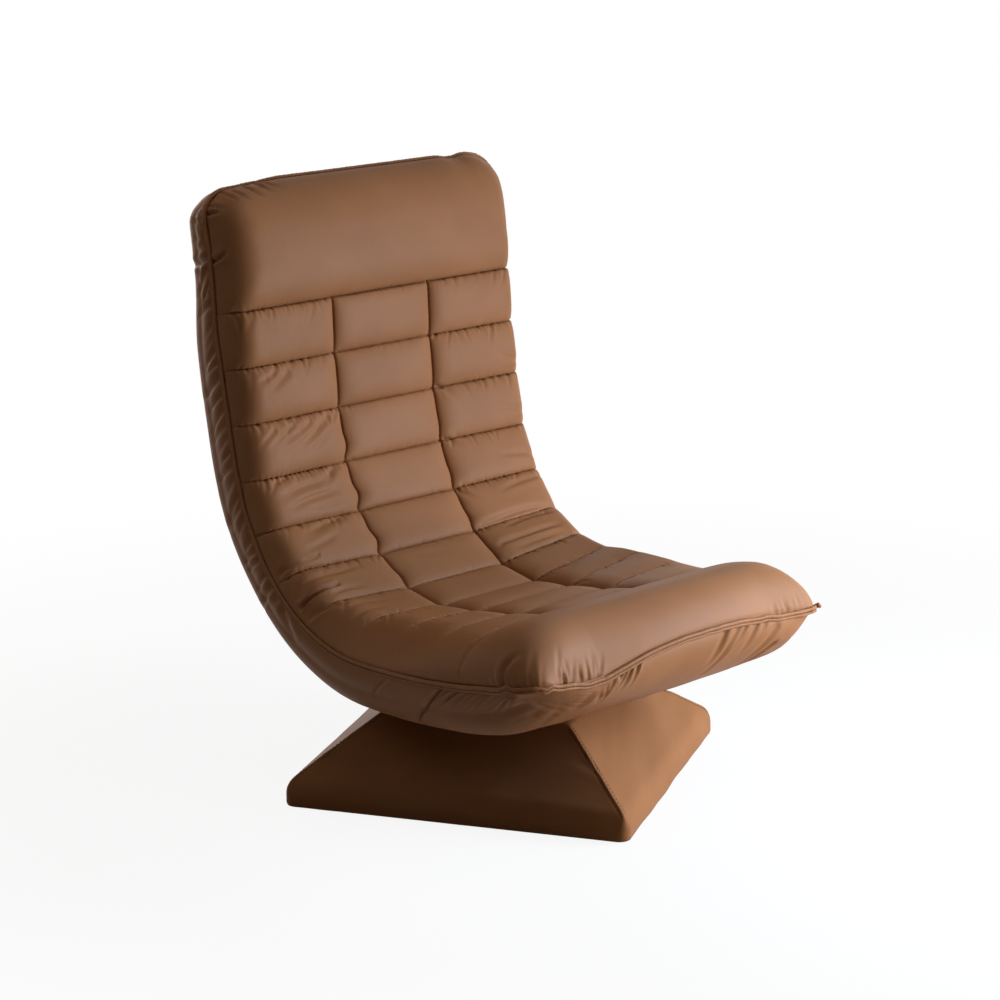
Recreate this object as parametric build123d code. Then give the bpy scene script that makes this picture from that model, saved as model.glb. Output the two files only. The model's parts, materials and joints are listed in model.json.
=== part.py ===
from build123d import *
import math
import os

os.makedirs("parts", exist_ok=True)

# Whole chair. The front faces -Y, the floor is z = 0 and the swivel axis is the Z axis.
OVERALL_HEIGHT = 860.0
OVERALL_WIDTH = 580.0
SEAT_HEIGHT = 320.0
SEAT_REACH = 335.0
SWIVEL_TURN = 28.6
WELT_RADIUS = 3.0

# Seam curve: a shallow seat arc, a tight bend and a straight leaning back.
SEAT_CURVE_RADIUS = 1400.0
BEND_START = 4.0
BEND_RADIUS = 250.0
BACK_LEAN = 10.0
FRONT_CORNER = 32.0
TOP_CORNER = 46.0
SIDE_PULL_IN = 4.0

# Quilting.
ROW_COUNT = 10
COLUMN_X = 95.5
FRONT_PANEL = 136.0
HEAD_PANEL = 184.5
PILLOW_RISE = 14.0
SIDE_ROLL = 44.0

# Soft covers behind the seam.
SEAT_DEPTH = 75.0
BACK_DEPTH = 81.0
HEAD_DEPTH = 62.0
UNDER_FRONT_ROUND = 110.0
TOP_ROUND = 54.0
COVER_WALL = 10.0
SEAM_GAP = 0.3

# Base.
BASE_SIDE = 500.0
BASE_TOP_SIDE = 264.0
BASE_HEIGHT = 122.0
PLINTH_HEIGHT = 35.0
BASE_CORNER = 20.0
COVER_CLOTH = 2.5
BOARD_THICK = 3.0
SHEET_THICK = 3.0
BATTEN_WIDE = 25.0
BATTEN_TALL = 30.0
LEG_RADIUS = 8.0
TOP_PLATE_THICK = 4.0

# Swivel bearing.
SWIVEL_SIDE = 200.0
SWIVEL_THICK = 4.0
RACE_RADIUS = 72.0
BALL_RADIUS = 4.0
BALL_COUNT = 12
BALL_PLAY = 0.1
PLATE_GAP = 4.4
CAGE_THICK = 1.6
RIVET_BORE = 45.0
UNDERSIDE_GAP = 11.6
SCREW_RADIUS = 3.0
SCREW_X = 80.0
SCREW_Y = 70.0

# Inner frame.
TUBE_RADIUS = 11.0
TUBE_WALL = 1.8
FRAME_X = 245.0
FRAME_SINK = 25.0
FRAME_CORNER = 60.0
RAIL_WIDE = 20.0
RAIL_TALL = 22.0
FRONT_TUBE_GAP = 50.0
TOP_TUBE_GAP = 32.0
HEAD_TUBE_CORNER = 40.0
STRAP_WIDE = 44.0
STRAP_THICK = 1.5

# Recline hinge.
HINGE_BEND_ANGLE = 30.0
ARM_THICK = 5.0
CHEEK_THICK = 3.0
CHEEK_PLAY = 0.3
TOOTH_TIP = 22.0
TOOTH_DEPTH = 2.4
TOOTH_STEP = 7.5
TOOTH_COUNT = 20
PLUNGER_TEETH = 3
PLUNGER_WIDE = 10.0
PLUNGER_LONG = 17.0
TOOTH_PLAY = 0.3
PIVOT_RADIUS = 5.0
PIVOT_PLAY = 0.05
GUIDE_RADIUS = 2.0

# Head hinge.
HEAD_LENGTH = 110.0
NECK_HALF = 34.0
HEAD_DISC = 16.0
HEAD_ARM_THICK = 4.0
HEAD_CHEEK_THICK = 2.5
WASHER_THICK = 0.5

# Heights that follow from the sizes above.
lower_plate_z = BASE_HEIGHT
ball_z = lower_plate_z + SWIVEL_THICK + PLATE_GAP / 2
upper_plate_z = lower_plate_z + SWIVEL_THICK + PLATE_GAP
upper_plate_top = upper_plate_z + SWIVEL_THICK
seam_low_z = upper_plate_top + UNDERSIDE_GAP + SEAT_DEPTH
seam_top_z = OVERALL_HEIGHT - WELT_RADIUS
seam_half = OVERALL_WIDTH / 2 - WELT_RADIUS

# Lengths along the seam curve, counted from the front edge.
bend_sweep = math.radians(90 - BACK_LEAN)
seat_len = SEAT_CURVE_RADIUS * math.asin((SEAT_REACH + BEND_START) / SEAT_CURVE_RADIUS)
bend_len = BEND_RADIUS * bend_sweep
bend_end_y = BEND_START + BEND_RADIUS * math.sin(bend_sweep)
bend_end_z = seam_low_z + BEND_RADIUS * (1 - math.cos(bend_sweep))
back_len = (seam_top_z - bend_end_z) / math.sin(bend_sweep)
seam_len = seat_len + bend_len + back_len
row_pitch = (seam_len - HEAD_PANEL - FRONT_PANEL) / ROW_COUNT
rows = [FRONT_PANEL + row_pitch * k for k in range(ROW_COUNT + 1)]
seat_end = rows[3]
back_start = rows[6]
quilt_end = rows[10]
recline_s = seat_len + BEND_RADIUS * math.radians(HINGE_BEND_ANGLE)
cover_split = seat_len + BEND_RADIUS * math.radians(HINGE_BEND_ANGLE - 8)
head_hinge_s = seam_len - HEAD_LENGTH
neck_start = head_hinge_s - NECK_HALF
neck_end = head_hinge_s + NECK_HALF


def seam_at(s):
    """Point (y, z) and slope angle of the seam curve at length s."""
    if s < seat_len:
        turn = (s - seat_len) / SEAT_CURVE_RADIUS
        y = BEND_START + SEAT_CURVE_RADIUS * math.sin(turn)
        z = seam_low_z + SEAT_CURVE_RADIUS * (1 - math.cos(turn))
        return y, z, turn
    if s < seat_len + bend_len:
        turn = (s - seat_len) / BEND_RADIUS
        y = BEND_START + BEND_RADIUS * math.sin(turn)
        z = seam_low_z + BEND_RADIUS * (1 - math.cos(turn))
        return y, z, turn
    run = s - seat_len - bend_len
    y = bend_end_y + run * math.cos(bend_sweep)
    z = bend_end_z + run * math.sin(bend_sweep)
    return y, z, bend_sweep


def spot(s, u, v):
    """Point at length s, u across the chair and v from the seam towards the sitter."""
    y, z, turn = seam_at(s)
    return (u, y - v * math.sin(turn), z + v * math.cos(turn))


def section_plane(s, v=0.0):
    """Plane across the chair at length s, its local y pointing towards the sitter."""
    turn = seam_at(s)[2]
    return Plane(
        origin=spot(s, 0, v),
        x_dir=(1, 0, 0),
        z_dir=(0, -math.cos(turn), -math.sin(turn)),
    )


def blend(table, s):
    """Value at s from (s, value) pairs, on straight lines between them."""
    for (s0, v0), (s1, v1) in zip(table, table[1:]):
        if s <= s1:
            part = max(0.0, (s - s0) / (s1 - s0))
            return v0 + (v1 - v0) * part
    return table[-1][1]


def end_round(distance, reach):
    """Share of the full height at this distance from a rounded end."""
    left = 1 - min(max(distance, 0.0), reach) / reach
    return math.sqrt(1 - left * left)


def half_width(s):
    """Half width of the seam outline at length s, with rounded corners."""
    half = seam_half - FRONT_CORNER * (1 - end_round(s, FRONT_CORNER))
    half -= TOP_CORNER * (1 - end_round(seam_len - s, TOP_CORNER))
    return half - SIDE_PULL_IN * math.sin(math.pi * min(max(s / seam_len, 0), 1)) ** 2


# Stitch depth above the seam, and the crown heights of the two smooth panels.
crown_s = 0.46 * FRONT_PANEL
front_crown = (SEAT_HEIGHT - seam_at(crown_s)[1]) / math.cos(seam_at(crown_s)[2])
stitch_table = [
    (rows[0], front_crown - 24),
    (rows[1], 46.0),
    (rows[2], 40.0),
    (rows[3], 32.0),
    (rows[4], 24.0),
    (rows[5], 20.0),
    (rows[6], 18.0),
    (rows[7], 17.0),
    (rows[8], 18.0),
    (rows[9], 24.0),
    (rows[10], 33.0),
]
head_table = [
    (quilt_end, 33.0),
    (quilt_end + 22, 46.0),
    (neck_start, 51.0),
    (head_hinge_s, 54.0),
    (neck_end, 52.0),
    (seam_len, 50.0),
]
depth_table = [
    (0.0, 0.93 * SEAT_DEPTH),
    (FRONT_PANEL / 2, SEAT_DEPTH),
    (seat_len, SEAT_DEPTH),
    (rows[5], SEAT_DEPTH - 3),
    (rows[7], BACK_DEPTH),
    (rows[9], BACK_DEPTH),
    (neck_start, HEAD_DEPTH + 6),
    (seam_len, HEAD_DEPTH),
]


def chain(points):
    """Closed wire from (start, via, end) triples; a via of None is a straight line."""
    edges = []
    for start, via, end in points:
        if via is None:
            edges.append(Edge.make_line(start, end))
        else:
            edges.append(Edge.make_three_point_arc(start, via, end))
    return Wire(edges)


def pad_wire(s, shoulder, outer, column, middle, roll):
    """Outline of the pad across the chair at length s."""
    half = half_width(s)
    low = SEAM_GAP
    rise = shoulder - low
    roll = min(roll, 0.3 * roll + rise)
    side_u = half - roll / 2 + 0.13 * rise
    side_v = low + rise / 2 + 0.13 * roll
    mid_u = (half - roll + COLUMN_X) / 2
    a = spot(s, -half, low)
    b = spot(s, -half + roll, shoulder)
    c = spot(s, -COLUMN_X, column)
    d = spot(s, COLUMN_X, column)
    e = spot(s, half - roll, shoulder)
    f = spot(s, half, low)
    return chain(
        [
            (a, spot(s, -side_u, side_v), b),
            (b, spot(s, -mid_u, outer), c),
            (c, spot(s, 0, middle), d),
            (d, spot(s, mid_u, outer), e),
            (e, spot(s, side_u, side_v), f),
            (f, None, a),
        ]
    )


def stitch_wire(s):
    """Pad outline along a cross stitch."""
    low = blend(stitch_table, s)
    return pad_wire(s, low + 4, low + 4.5, low, low + 3, SIDE_ROLL)


def pillow_wire(s):
    """Pad outline over the crowns of the pillows."""
    low = blend(stitch_table, s)
    top = low + PILLOW_RISE
    return pad_wire(s, top - 5, top + 1, low + 3, top, SIDE_ROLL)


def panel_wire(s, height, shoulder, roll):
    """Pad outline of a smooth panel with one wide crown."""
    return pad_wire(s, shoulder * height, 0.95 * height, 0.985 * height, height, roll)


def quilt(first, last):
    """Pillow rows between two cross stitches, as one soft solid."""
    body = None
    for k in range(first, last):
        middle = (rows[k] + rows[k + 1]) / 2
        band = Solid.make_loft([stitch_wire(rows[k]), pillow_wire(middle), stitch_wire(rows[k + 1])])
        body = band if body is None else body + band
    return body


def front_panel():
    """Smooth padded front of the seat, rolling down to the seam."""
    nose = []
    for part in (0.0, 0.06, 0.2, 0.42, 0.7, 1.0):
        s = part * crown_s
        height = max(5.0, front_crown * end_round(s + 1, 0.9 * crown_s))
        nose.append(panel_wire(s, height, 0.8, SIDE_ROLL))
    slope = [panel_wire(crown_s, front_crown, 0.8, SIDE_ROLL)]
    slope.append(panel_wire((crown_s + FRONT_PANEL) / 2, 0.96 * front_crown, 0.8, SIDE_ROLL))
    slope.append(stitch_wire(rows[0]))
    return Solid.make_loft(nose) + Solid.make_loft(slope)


def head_panel(stations):
    """Smooth head panel through the given stations."""
    wires = []
    for s in stations:
        if s <= quilt_end:
            wires.append(stitch_wire(s))
            continue
        height = blend(head_table, s) * end_round(seam_len - s + 1, 0.75 * HEAD_LENGTH)
        wires.append(panel_wire(s, max(5.0, height), 0.66, 1.3 * SIDE_ROLL))
    return Solid.make_loft(wires)


def cover_wire(s, wall, top):
    """Outline of the rear cover across the chair at length s, shrunk by wall."""
    depth = blend(depth_table, s) * end_round(s + 1, UNDER_FRONT_ROUND)
    depth = max(9.0, depth * end_round(seam_len - s + 1, TOP_ROUND)) - wall
    half = half_width(s) - wall
    corner = min(34.0, 0.75 * depth)
    pull = 5.0
    flat = half - pull - corner
    diag = corner * math.sqrt(0.5)
    a = spot(s, -half, top)
    b = spot(s, -half + pull, -depth + corner)
    c = spot(s, -flat, -depth)
    d = spot(s, flat, -depth)
    e = spot(s, half - pull, -depth + corner)
    f = spot(s, half, top)
    return chain(
        [
            (a, None, b),
            (b, spot(s, -flat - diag, -depth + corner - diag), c),
            (c, spot(s, 0, -depth - 3), d),
            (d, spot(s, flat + diag, -depth + corner - diag), e),
            (e, None, f),
            (f, None, a),
        ]
    )


def cover(groups, open_start, open_end):
    """Padded rear cover: a tray open towards the pad and at its open ends."""
    first = groups[0][0]
    last = groups[-1][-1]
    outside = None
    inside = None
    for stations in groups:
        shell = Solid.make_loft([cover_wire(s, 0.0, -SEAM_GAP) for s in stations])
        outside = shell if outside is None else outside + shell
        inner = list(stations)
        if stations[0] == first and open_start:
            inner.insert(0, first - 2)
        if stations[0] == first and not open_start:
            inner = [first + COVER_WALL] + [s for s in stations if s > first + COVER_WALL + 4]
        if stations[-1] == last and open_end:
            inner.append(last + 2)
        if stations[-1] == last and not open_end:
            inner = [s for s in inner if s < last - COVER_WALL - 4] + [last - COVER_WALL]
        hollow = Solid.make_loft([cover_wire(s, COVER_WALL, 6.0) for s in inner])
        inside = hollow if inside is None else inside + hollow
    return outside - inside


def swept(path, radius):
    """Round bar along a path."""
    edge = path.edges()[0] if isinstance(path, Edge) else path
    return sweep(Plane(origin=path @ 0, z_dir=path % 0) * Circle(radius), path=edge)


def tube(path):
    """Round tube along a path."""
    return swept(path, TUBE_RADIUS) - swept(path, TUBE_RADIUS - TUBE_WALL)


def frame_arc(angle_0, angle_1, x):
    """Arc of the frame round the bend, between two bend angles in degrees."""
    points = []
    for angle in (angle_0, (angle_0 + angle_1) / 2, angle_1):
        points.append(spot(seat_len + BEND_RADIUS * math.radians(angle), x, -FRAME_SINK))
    return Edge.make_three_point_arc(*points)


def cross_tube(s, radius):
    """Cross tube between the side tubes at length s."""
    reach = FRAME_X - TUBE_RADIUS + 1
    bar = Cylinder(radius, 2 * reach) - Cylinder(radius - TUBE_WALL, 2 * reach)
    return Pos(*spot(s, 0, -FRAME_SINK)) * Rot(0, 90, 0) * bar


def strap(s, wide, play):
    """Elastic strap looped round both side tubes."""
    inside = TUBE_RADIUS + play
    outside = inside + STRAP_THICK
    ring = SlotOverall(2 * (FRAME_X + outside), 2 * outside)
    ring -= SlotOverall(2 * (FRAME_X + inside), 2 * inside)
    return extrude(section_plane(s, -FRAME_SINK) * ring, wide / 2, both=True)


def hex_nut(radius, tall):
    """Plain hexagon nut with its bore, standing on z = 0."""
    outline = RegularPolygon(1.75 * radius, 6) - Circle(radius + 0.05)
    return extrude(outline, tall)


def sunk_screw(length, pointing_up):
    """Countersunk screw; the head is flush with z = 0 and the shank runs along z."""
    head = Cone(2 * SCREW_RADIUS, SCREW_RADIUS, SCREW_RADIUS, align=(Align.CENTER, Align.CENTER, Align.MIN))
    shank = Cylinder(SCREW_RADIUS, length, align=(Align.CENTER, Align.CENTER, Align.MIN))
    screw = head + shank
    return screw if pointing_up else Rot(180, 0, 0) * screw


def sunk_hole(length, pointing_up):
    """Hole that takes a countersunk screw."""
    gap = 0.05
    rest = (Align.CENTER, Align.CENTER, Align.MIN)
    head = Cone(2 * SCREW_RADIUS + gap, SCREW_RADIUS + gap, SCREW_RADIUS, align=rest)
    shank = Cylinder(SCREW_RADIUS + gap, length, align=rest)
    hole = head + shank
    return hole if pointing_up else Rot(180, 0, 0) * hole


def ring_sector(centre, inner, outer, start, size):
    """Flat ring sector in the side plane; angles in degrees from +Y towards +Z."""
    low = CenterArc(centre, inner, start, size)
    high = CenterArc(centre, outer, start, size)
    return make_face([low, Line(low @ 1, high @ 1), high, Line(high @ 0, low @ 0)])


def side_plate(outline, x, thick):
    """Plate in the side plane, centred on x."""
    return Pos(x - thick / 2, 0, 0) * extrude(Plane.YZ * outline, thick)


def polar(centre, radius, degrees):
    """Point in the side plane at an angle from +Y towards +Z."""
    turn = math.radians(degrees)
    return (centre[0] + radius * math.cos(turn), centre[1] + radius * math.sin(turn))


nodes = {}

# Base: sheet, battens, legs, top plate, boards and cover, all turned with the base.
turned = Rot(0, 0, SWIVEL_TURN)
cover_top = BASE_HEIGHT + COVER_CLOTH
slope_run = (BASE_SIDE - BASE_TOP_SIDE) / 2
slope_rise = cover_top - PLINTH_HEIGHT
slope_angle = math.atan2(slope_rise, slope_run)
cloth_shift = COVER_CLOTH / math.sin(slope_angle)
plinth_in = BASE_SIDE / 2 - COVER_CLOTH
base_standing = (Align.CENTER, Align.CENTER, Align.MIN)


def slope_half(z):
    """Half side of the base cover on its slope at height z."""
    return BASE_SIDE / 2 - slope_run * (z - PLINTH_HEIGHT) / slope_rise


def rounded_square(half, corner, z):
    return Pos(0, 0, z) * RectangleRounded(2 * half, 2 * half, corner)


hem_z = 1.0
top_corner = 0.6 * BASE_CORNER
outer_base = loft([rounded_square(BASE_SIDE / 2, BASE_CORNER, hem_z),
                   rounded_square(BASE_SIDE / 2, BASE_CORNER, PLINTH_HEIGHT)])
outer_base += loft([rounded_square(BASE_SIDE / 2, BASE_CORNER, PLINTH_HEIGHT),
                    rounded_square(BASE_TOP_SIDE / 2, top_corner, cover_top)])
inner_knee = PLINTH_HEIGHT + (COVER_CLOTH - cloth_shift) * slope_rise / slope_run
inner_corner = BASE_CORNER - COVER_CLOTH
inner_base = loft([rounded_square(plinth_in, inner_corner, hem_z - 1),
                   rounded_square(plinth_in, inner_corner, inner_knee)])
inner_base += loft([rounded_square(plinth_in, inner_corner, inner_knee),
                    rounded_square(slope_half(BASE_HEIGHT) - cloth_shift, top_corner, BASE_HEIGHT)])
hem_opening = SWIVEL_SIDE + 20
base_cover = outer_base - inner_base
base_cover -= Pos(0, 0, BASE_HEIGHT) * Box(hem_opening, hem_opening, 4 * COVER_CLOTH)
nodes["base_cover"] = turned * base_cover

batten_out = plinth_in - SEAM_GAP
sheet = extrude(RectangleRounded(2 * batten_out - 2, 2 * batten_out - 2, inner_corner - 1), SHEET_THICK)
nodes["base_nonslip_sheet"] = turned * sheet
batten_top = SHEET_THICK + BATTEN_TALL
floor_ring = RectangleRounded(2 * batten_out, 2 * batten_out, inner_corner)
floor_ring -= Rectangle(2 * (batten_out - BATTEN_WIDE), 2 * (batten_out - BATTEN_WIDE))
nodes["base_floor_frame"] = turned * Pos(0, 0, SHEET_THICK) * extrude(floor_ring, BATTEN_TALL)

board_top_in = slope_half(BASE_HEIGHT) - (COVER_CLOTH + SEAM_GAP + BOARD_THICK) / math.sin(slope_angle)
plate_half = board_top_in - 1.0
plate_z = BASE_HEIGHT - TOP_PLATE_THICK
rivet_flange = RIVET_BORE + 7
top_plate = Pos(0, 0, plate_z) * Box(2 * plate_half, 2 * plate_half, TOP_PLATE_THICK, align=base_standing)
top_plate -= Pos(0, 0, plate_z) * Cylinder(rivet_flange + 6, 4 * TOP_PLATE_THICK)
lower_spots = [(SCREW_X, SCREW_X), (-SCREW_X, SCREW_X), (-SCREW_X, -SCREW_X), (SCREW_X, -SCREW_X)]
for x, y in lower_spots:
    top_plate -= Pos(x, y, plate_z) * Cylinder(SCREW_RADIUS + 0.05, 4 * TOP_PLATE_THICK)
nodes["base_top_plate"] = turned * top_plate

foot = batten_out - 0.75 * BATTEN_WIDE
shoulder = plate_half - 1.3 * LEG_RADIUS
for k in range(4):
    start = Pos(foot, foot, batten_top) * Circle(LEG_RADIUS)
    lean = Vector(shoulder - foot, shoulder - foot, plate_z - batten_top)
    leg = extrude(start, amount=lean.length, dir=lean.normalized())
    nodes[f"base_leg_{k + 1}"] = turned * Rot(0, 0, 90 * k) * leg

board_sink = COVER_CLOTH + SEAM_GAP
boards = []
board_low = batten_top + SEAM_GAP + (board_sink + BOARD_THICK) * math.cos(slope_angle)
board_high = plate_z
for k in range(4):
    low_half = slope_half(board_low) - BASE_CORNER - 4
    high_half = slope_half(board_high) - BASE_CORNER - 4
    along = Vector(0, slope_run, -slope_rise).normalized()
    outward = Vector(0, math.sin(slope_angle), math.cos(slope_angle))
    upper = Vector(0, slope_half(board_high), board_high)
    length = (board_high - board_low) / math.sin(slope_angle)
    face_plane = Plane(origin=upper - outward * board_sink, x_dir=(1, 0, 0), z_dir=outward)
    sign = 1 if face_plane.y_dir.dot(along) > 0 else -1
    outline = Polygon(
        (-high_half, 0), (high_half, 0), (low_half, sign * length), (-low_half, sign * length), align=None
    )
    boards.append(Rot(0, 0, 90 * k) * extrude(face_plane * outline, -BOARD_THICK))
nodes["base_side_boards"] = turned * Compound(boards)

# Swivel bearing: two raced plates, a caged ring of balls and a hollow rivet.
race = Torus(RACE_RADIUS, BALL_RADIUS + BALL_PLAY)
lower_plate = Pos(0, 0, lower_plate_z) * Box(SWIVEL_SIDE, SWIVEL_SIDE, SWIVEL_THICK, align=base_standing)
lower_plate -= Pos(0, 0, lower_plate_z) * Cylinder(RIVET_BORE + PIVOT_PLAY, 4 * SWIVEL_THICK)
lower_plate -= Pos(0, 0, ball_z) * race
upper_plate = Pos(0, 0, upper_plate_z) * Box(SWIVEL_SIDE, SWIVEL_SIDE, SWIVEL_THICK, align=base_standing)
upper_plate -= Pos(0, 0, upper_plate_z) * Cylinder(RIVET_BORE + PIVOT_PLAY, 4 * SWIVEL_THICK)
upper_plate -= Pos(0, 0, ball_z) * race
lower_top = lower_plate_z + SWIVEL_THICK
lower_screws = []
lower_nuts = []
grip = SWIVEL_THICK + TOP_PLATE_THICK
for x, y in lower_spots:
    lower_plate -= Pos(x, y, lower_top) * sunk_hole(2 * SWIVEL_THICK, False)
    lower_screws.append(Pos(x, y, lower_top) * sunk_screw(grip + 8, False))
    lower_nuts.append(Pos(x, y, plate_z - 5) * hex_nut(SCREW_RADIUS, 5))
nodes["swivel_lower_plate"] = turned * lower_plate
nodes["swivel_lower_screws"] = turned * Compound(lower_screws)
nodes["swivel_lower_nuts"] = turned * Compound(lower_nuts)

cage = Cylinder(RACE_RADIUS + 2 * BALL_RADIUS, CAGE_THICK)
cage -= Cylinder(RACE_RADIUS - 2 * BALL_RADIUS, CAGE_THICK)
balls = []
for place in PolarLocations(RACE_RADIUS, BALL_COUNT):
    cage -= place * Cylinder(BALL_RADIUS + 0.15, 4 * CAGE_THICK)
    balls.append(Pos(0, 0, ball_z) * place * Sphere(BALL_RADIUS))
nodes["swivel_ball_cage"] = Pos(0, 0, ball_z) * cage
nodes["swivel_balls"] = Compound(balls)

flange = 2.5
flange_low = lower_plate_z - CHEEK_PLAY - flange
collar = Pos(0, 0, flange_low) * Cylinder(RIVET_BORE, upper_plate_top - flange_low, align=base_standing)
collar += Pos(0, 0, flange_low) * Cylinder(rivet_flange, flange, align=base_standing)
collar += Pos(0, 0, upper_plate_top) * Cylinder(rivet_flange, flange, align=base_standing)
collar -= Pos(0, 0, upper_plate_top) * Cylinder(RIVET_BORE - 4, 6 * SWIVEL_THICK)
nodes["swivel_hollow_rivet"] = collar

# Seat frame: one bent tube, two cross rails, screws with spacers, and straps.
arm_tail = 10.0
seat_tube_end = HINGE_BEND_ANGLE - 6.0
back_tube_start = HINGE_BEND_ANGLE + 12.5
bend_at = FRAME_CORNER + FRONT_TUBE_GAP
right = spot(bend_at, FRAME_X, -FRAME_SINK)
left = spot(bend_at, -FRAME_X, -FRAME_SINK)
bend_turn = seam_at(bend_at)[2]
forward = Vector(0, -math.cos(bend_turn), -math.sin(bend_turn))
middle_s = (bend_at + seat_len) / 2
side_path = []
for x in (-FRAME_X, FRAME_X):
    rear = frame_arc(0.0, seat_tube_end, x)
    seat = Edge.make_three_point_arc(
        spot(seat_len, x, -FRAME_SINK), spot(middle_s, x, -FRAME_SINK), spot(bend_at, x, -FRAME_SINK)
    )
    corner_end = Vector(spot(bend_at, x, -FRAME_SINK)) + forward * FRAME_CORNER
    corner_end = corner_end - Vector(math.copysign(FRAME_CORNER, x), 0, 0)
    bend = Edge.make_tangent_arc(spot(bend_at, x, -FRAME_SINK), forward, corner_end)
    side_path.append((rear, seat, bend, corner_end))
front_line = Edge.make_line(side_path[0][3], side_path[1][3])
start_rear, start_seat, start_bend, _ = side_path[0]
end_rear, end_seat, end_bend, _ = side_path[1]
path_edges = [start_rear, start_seat, start_bend, front_line, end_bend, end_seat, end_rear]
seat_path = Wire(path_edges)
seat_frame = tube(seat_path)
nodes["seat_frame"] = seat_frame
seat_bar = swept(seat_path, TUBE_RADIUS)

screw_tops = {}
spacers = []
upper_screws = []
upper_nuts = []
for name, y in (("front", -SCREW_Y), ("rear", SCREW_Y)):
    reach = SEAT_CURVE_RADIUS + FRAME_SINK if y < BEND_START else BEND_RADIUS + FRAME_SINK
    tube_z = seam_low_z - FRAME_SINK + reach - math.sqrt(reach**2 - (y - BEND_START) ** 2)
    rail_z = tube_z - 5.0 - RAIL_TALL
    rail = Pos(0, y, rail_z) * Box(2 * FRAME_X, RAIL_WIDE, RAIL_TALL, align=base_standing)
    rail -= Pos(0, y, rail_z + 2) * Box(2 * FRAME_X, RAIL_WIDE - 4, RAIL_TALL - 4, align=base_standing)
    for x in (-SCREW_X, SCREW_X):
        rail -= Pos(x, y, rail_z) * Cylinder(SCREW_RADIUS + 0.05, 4 * RAIL_TALL)
        upper_plate -= Pos(x, y, upper_plate_z) * sunk_hole(2 * SWIVEL_THICK, True)
        length = rail_z + RAIL_TALL - upper_plate_z + 8
        upper_screws.append(Pos(x, y, upper_plate_z) * sunk_screw(length, True))
        upper_nuts.append(Pos(x, y, rail_z + RAIL_TALL) * hex_nut(SCREW_RADIUS, 5))
        sleeve = Cylinder(3 * SCREW_RADIUS, rail_z - upper_plate_top, align=base_standing)
        sleeve -= Cylinder(SCREW_RADIUS + 0.05, 4 * RAIL_TALL)
        spacers.append(Pos(x, y, upper_plate_top) * sleeve)
    nodes[f"seat_cross_rail_{name}"] = rail - seat_bar
nodes["swivel_upper_plate"] = upper_plate
nodes["swivel_upper_screws"] = Compound(upper_screws)
nodes["swivel_upper_nuts"] = Compound(upper_nuts)
nodes["swivel_spacers"] = Compound(spacers)

seat_straps = [strap(part * seat_len, STRAP_WIDE, 1.0) for part in (0.43, 0.6, 0.985)]
nodes["seat_straps"] = Compound(seat_straps)

# Seat pad, bend pad and their rear covers.
nodes["seat_cushion"] = front_panel() + quilt(0, 3)
nodes["lumbar_cushion"] = quilt(3, 6)
front_cap = [part * UNDER_FRONT_ROUND for part in (0.0, 0.04, 0.14, 0.3, 0.56, 1.0)]
seat_body = [UNDER_FRONT_ROUND, (UNDER_FRONT_ROUND + seat_len) / 2, seat_len]
under_bend = [seat_len, (seat_len + cover_split) / 2, cover_split]
seat_cover = cover([front_cap, seat_body, under_bend], False, True)
for x in (-SCREW_X, SCREW_X):
    for y in (-SCREW_Y, SCREW_Y):
        seat_cover -= Pos(x, y, upper_plate_top) * Cylinder(3 * SCREW_RADIUS + 0.3, 2 * SEAT_DEPTH)
nodes["seat_rear_cover"] = seat_cover
bend_step = (back_start - cover_split) / 3
nodes["lumbar_rear_cover"] = cover([[cover_split + bend_step * k for k in range(4)]], True, True)

# Back frame, straps, pad and rear cover.
bend_s = seat_len + bend_len
head_tube_gap = 24.0
back_frame = None
for x in (-FRAME_X, FRAME_X):
    curve = frame_arc(back_tube_start, 90 - BACK_LEAN, x)
    tube_top = spot(head_hinge_s - head_tube_gap, x, -FRAME_SINK)
    straight = Edge.make_line(spot(bend_s, x, -FRAME_SINK), tube_top)
    side = tube(Wire([curve, straight]))
    back_frame = side if back_frame is None else back_frame + side
tube_run = head_hinge_s - head_tube_gap - bend_s
cross_radius = 0.75 * TUBE_RADIUS
back_frame += cross_tube(bend_s + 0.08 * tube_run, cross_radius)
back_frame += cross_tube(bend_s + 0.94 * tube_run, cross_radius)
nodes["back_frame"] = back_frame
strap_pitch = 0.178 * tube_run
back_straps = []
for k in range(4):
    back_straps.append(strap(bend_s + 0.24 * tube_run + strap_pitch * k, 0.82 * strap_pitch, 0.3))
nodes["back_straps"] = Compound(back_straps)
nodes["back_cushion"] = quilt(6, 10) + head_panel([quilt_end, quilt_end + 20, neck_start])
nodes["neck_cushion"] = head_panel([neck_start, head_hinge_s, neck_end])
back_bend = [back_start, (back_start + bend_s) / 2, bend_s]
back_straight = [bend_s, (bend_s + quilt_end) / 2, quilt_end, neck_start]
nodes["back_rear_cover"] = cover([back_bend, back_straight], True, True)
nodes["neck_rear_cover"] = cover([[neck_start, head_hinge_s, neck_end]], True, True)

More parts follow.
